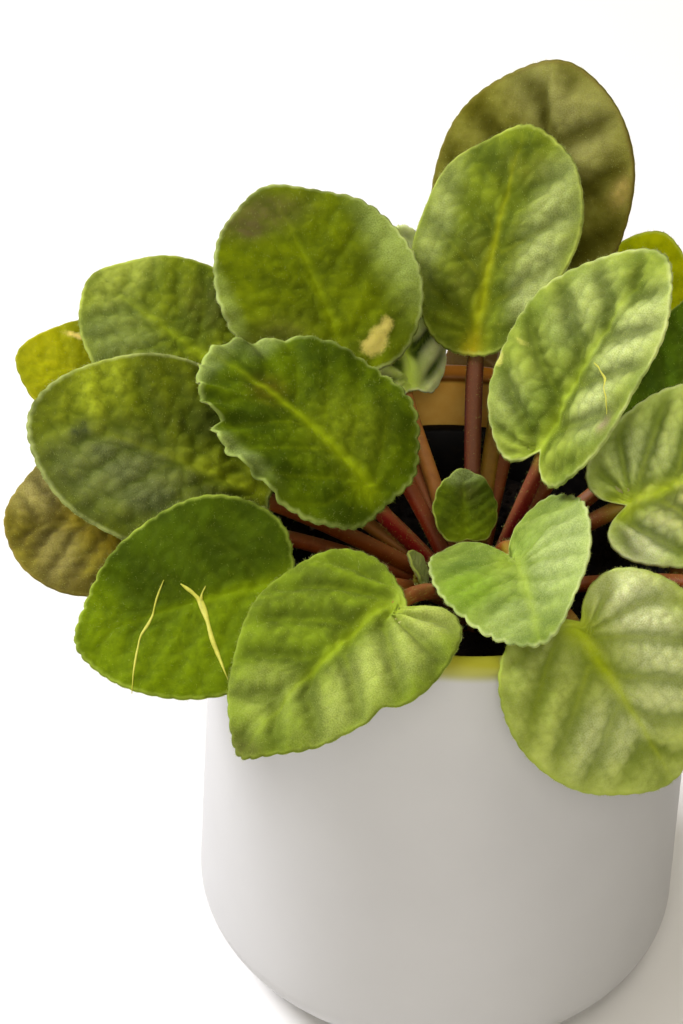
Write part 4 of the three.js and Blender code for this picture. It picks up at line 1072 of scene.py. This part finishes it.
def buildCrown(material):
    s = stalkSize
    cx, cy = soilSize["crown"]
    footEdge = (s["stemRadius"], s["stemFoot"] + s["stemTaper"])
    shoulder = s["stemTop"] - s["stemRound"]
    profile = [(s["stemRadius"] - s["stemTaper"], s["stemFoot"]), footEdge,
               *steppedLine(footEdge, (s["stemRadius"], shoulder), 6),
               *arcPoints(0, shoulder, s["stemRadius"], s["stemRound"], 0, 90, 6)[:-1]]
    sides = s["stemSides"]
    rings = np.array(profile)
    angles = anglesRound(sides)
    wide = rings[:, :1] * (1 + s["stemLumpy"] * np.sin(5 * angles + rings[:, 1:] / 3))
    stem = ringPoints(angles, wide, rings[:, 1:], (cx, cy)).reshape(-1, 3)
    points = [np.concatenate([stem, [[cx, cy, s["stemFoot"]], [cx, cy, s["stemTop"]]]])]
    total = len(points[0])
    places = [np.tile([0.3, 0.0, 0.0], (total, 1))]
    tints = [np.tile(toLinear(stalkLook["stem"])[:3], (total, 1))]
    quads = [latheFaces(len(rings), sides)]
    caps = [capFaces(total - 2, 0, sides), capFaces(total - 1, (len(rings) - 1) * sides, sides, True)]
    roots, directions = [], []
    # a round stalk, a little flat and grooved on top
    sides = s["sides"]
    around = anglesRound(sides)
    shape = 1 - s["groove"] * hump(around - np.pi / 2, 0.45)
    for leaf in leaves:
        route, sizes, share = petioleRoute(leaf)
        tangent = unitRows(np.gradient(route, axis=0))
        side = unitRows(np.cross(tangent, [0, 0, 1.0]))
        top = np.cross(side, tangent)
        wobble = 1 + s["wobble"] * np.sin(9 * share + leaf["azimuth"])
        ring = side[:, None] * np.cos(around)[:, None] + s["flat"] * top[:, None] * np.sin(around)[:, None]
        tube = route[:, None] + ring * (sizes * wobble)[:, None, None] * shape[:, None]
        points.append(np.concatenate([tube.reshape(-1, 3), route[:1], route[-1:]]))
        count = len(points[-1])
        place = np.stack([share[:, None] * np.ones(sides), np.ones((len(share), 1)) * np.sin(around),
                          np.zeros((len(share), sides))], -1).reshape(-1, 3)
        places.append(np.concatenate([place, [[0, 0, 0], [1.3, 0, 0]]]))
        tints.append(np.tile(toLinear(leaf["stalk"])[:3], (count, 1)))
        quads.append(latheFaces(len(route), sides) + total)
        lastRing = total + (len(route) - 1) * sides
        caps += [capFaces(total + count - 2, total, sides),
                 capFaces(total + count - 1, lastRing, sides, True)]
        total += count
        hairs = int(s["hairs"] * sturdiness(leaf))
        which = rng.integers(4, len(route) - 10, hairs)
        angle = rng.integers(0, sides, hairs)
        roots.append(tube[which, angle] + tangent[which] * rng.uniform(-1, 1, (hairs, 1)))
        directions.append(ring[which, angle] + rng.normal(0, 0.35, (hairs, 3)))
    hairRoots = np.concatenate(roots)
    lengths = s["hairLength"] * rng.uniform(0.6, 1.2, len(hairRoots))
    hairPoints, hairFaces = addHairs(hairRoots, unitRows(np.concatenate(directions)), lengths, total)
    points.append(hairPoints)
    spare = np.zeros((len(hairPoints), 3))
    attributes = {"petiolePlace": np.concatenate([*places, spare]),
                  "petioleTint": np.concatenate([*tints, spare])}
    groups = [(np.concatenate(quads), 0), (np.concatenate(caps), 0), (hairFaces, 1)]
    return newPiece("stem_and_petioles", np.concatenate(points), groups, [material, hair], attributes)


crown = buildCrown(petioleSkin())
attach(crown, "root")
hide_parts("crown")
print("crown made")


# floor, light and camera

stageLook = {"floor": "#e5e5e4", "fibre": "#e9e8e6", "world": "#fff3df", "worldStrength": 0.2,
             "half": 4000, "below": 0.05, "aimHeight": 0.16}
lights = [
    dict(name="windowLight", at=(-1.12, 0.3, 1.16), size=0.6, power=34, colour="#fbfaff"),
    dict(name="overheadFill", at=(0.25, -0.3, 1.7), size=1.0, power=11, colour="#fff8ec"),
    dict(name="frontFill", at=(0.02, -1.05, 1.05), size=0.5, power=6.5, colour="#fff8ec"),
]


def buildStage():
    look = stageLook
    # smooth white paper sweep: matt, so it only takes soft shadows
    material = mottledMaterial("mattPaperSweep", 60, (look["floor"], look["fibre"]), {"Roughness": 0.9})
    corners = np.array([(-1, -1, 0), (1, -1, 0), (1, 1, 0), (-1, 1, 0)]) * look["half"]
    faces = np.array([[0, 1, 2, 3]])
    floor = newPiece("floor", corners - [0, 0, look["below"]], [(faces, 0)], [material])
    world = bpy.data.worlds.new("softStudio")
    world.use_nodes = True
    background = world.node_tree.nodes["Background"]
    background.inputs[0].default_value = toLinear(look["world"])
    background.inputs[1].default_value = look["worldStrength"]
    bpy.context.scene.world = world
    for values in lights:
        data = bpy.data.lights.new(values["name"], "AREA")
        data.shape, data.size, data.energy = "DISK", values["size"], values["power"]
        data.color = toLinear(values["colour"])[:3]
        lamp = bpy.data.objects.new(values["name"], data)
        lamp.location = values["at"]
        aim = Vector((0, 0, look["aimHeight"])) - lamp.location
        lamp.rotation_euler = aim.to_track_quat("-Z", "Y").to_euler()
        bpy.context.scene.collection.objects.link(lamp)


view = {"elevation": 39, "distance": 1000, "rimHeight": 146, "focalPixels": 3896, "yaw": -2.27,
        "pitch": 0.17, "roll": 2.84, "framePixels": 1024, "sensor": 36}


def buildCamera():
    # stands off the rim's centre at the photo's height, then turns, tips and rolls a little
    v = view
    elevation, yaw, pitch, roll = (math.radians(v[key]) for key in ("elevation", "yaw", "pitch", "roll"))
    tip = elevation + pitch
    height = v["rimHeight"] + v["distance"] * math.sin(elevation)
    place = Vector((0, -v["distance"] * math.cos(elevation), height))
    ahead = Vector((math.sin(yaw) * math.cos(tip), math.cos(yaw) * math.cos(tip), -math.sin(tip)))
    right = ahead.cross(Vector((0, 0, 1))).normalized()
    up = right.cross(ahead)
    rolledUp = up * math.cos(roll) - right * math.sin(roll)
    rolledRight = right * math.cos(roll) + up * math.sin(roll)
    data = bpy.data.cameras.new("camera")
    data.sensor_width = v["sensor"]
    data.lens = v["focalPixels"] * v["sensor"] / v["framePixels"]
    data.clip_end = 20
    camera = bpy.data.objects.new("camera", data)
    turn = np.array([rolledRight, rolledUp, -ahead]).T
    camera.matrix_world = Matrix([[*turn[i], place[i] * mm] for i in range(3)] + [[0, 0, 0, 1]])
    bpy.context.scene.collection.objects.link(camera)
    bpy.context.scene.camera = camera


buildStage()
buildCamera()
bpy.context.scene.view_settings.view_transform = "Standard"
print("stage and camera made")
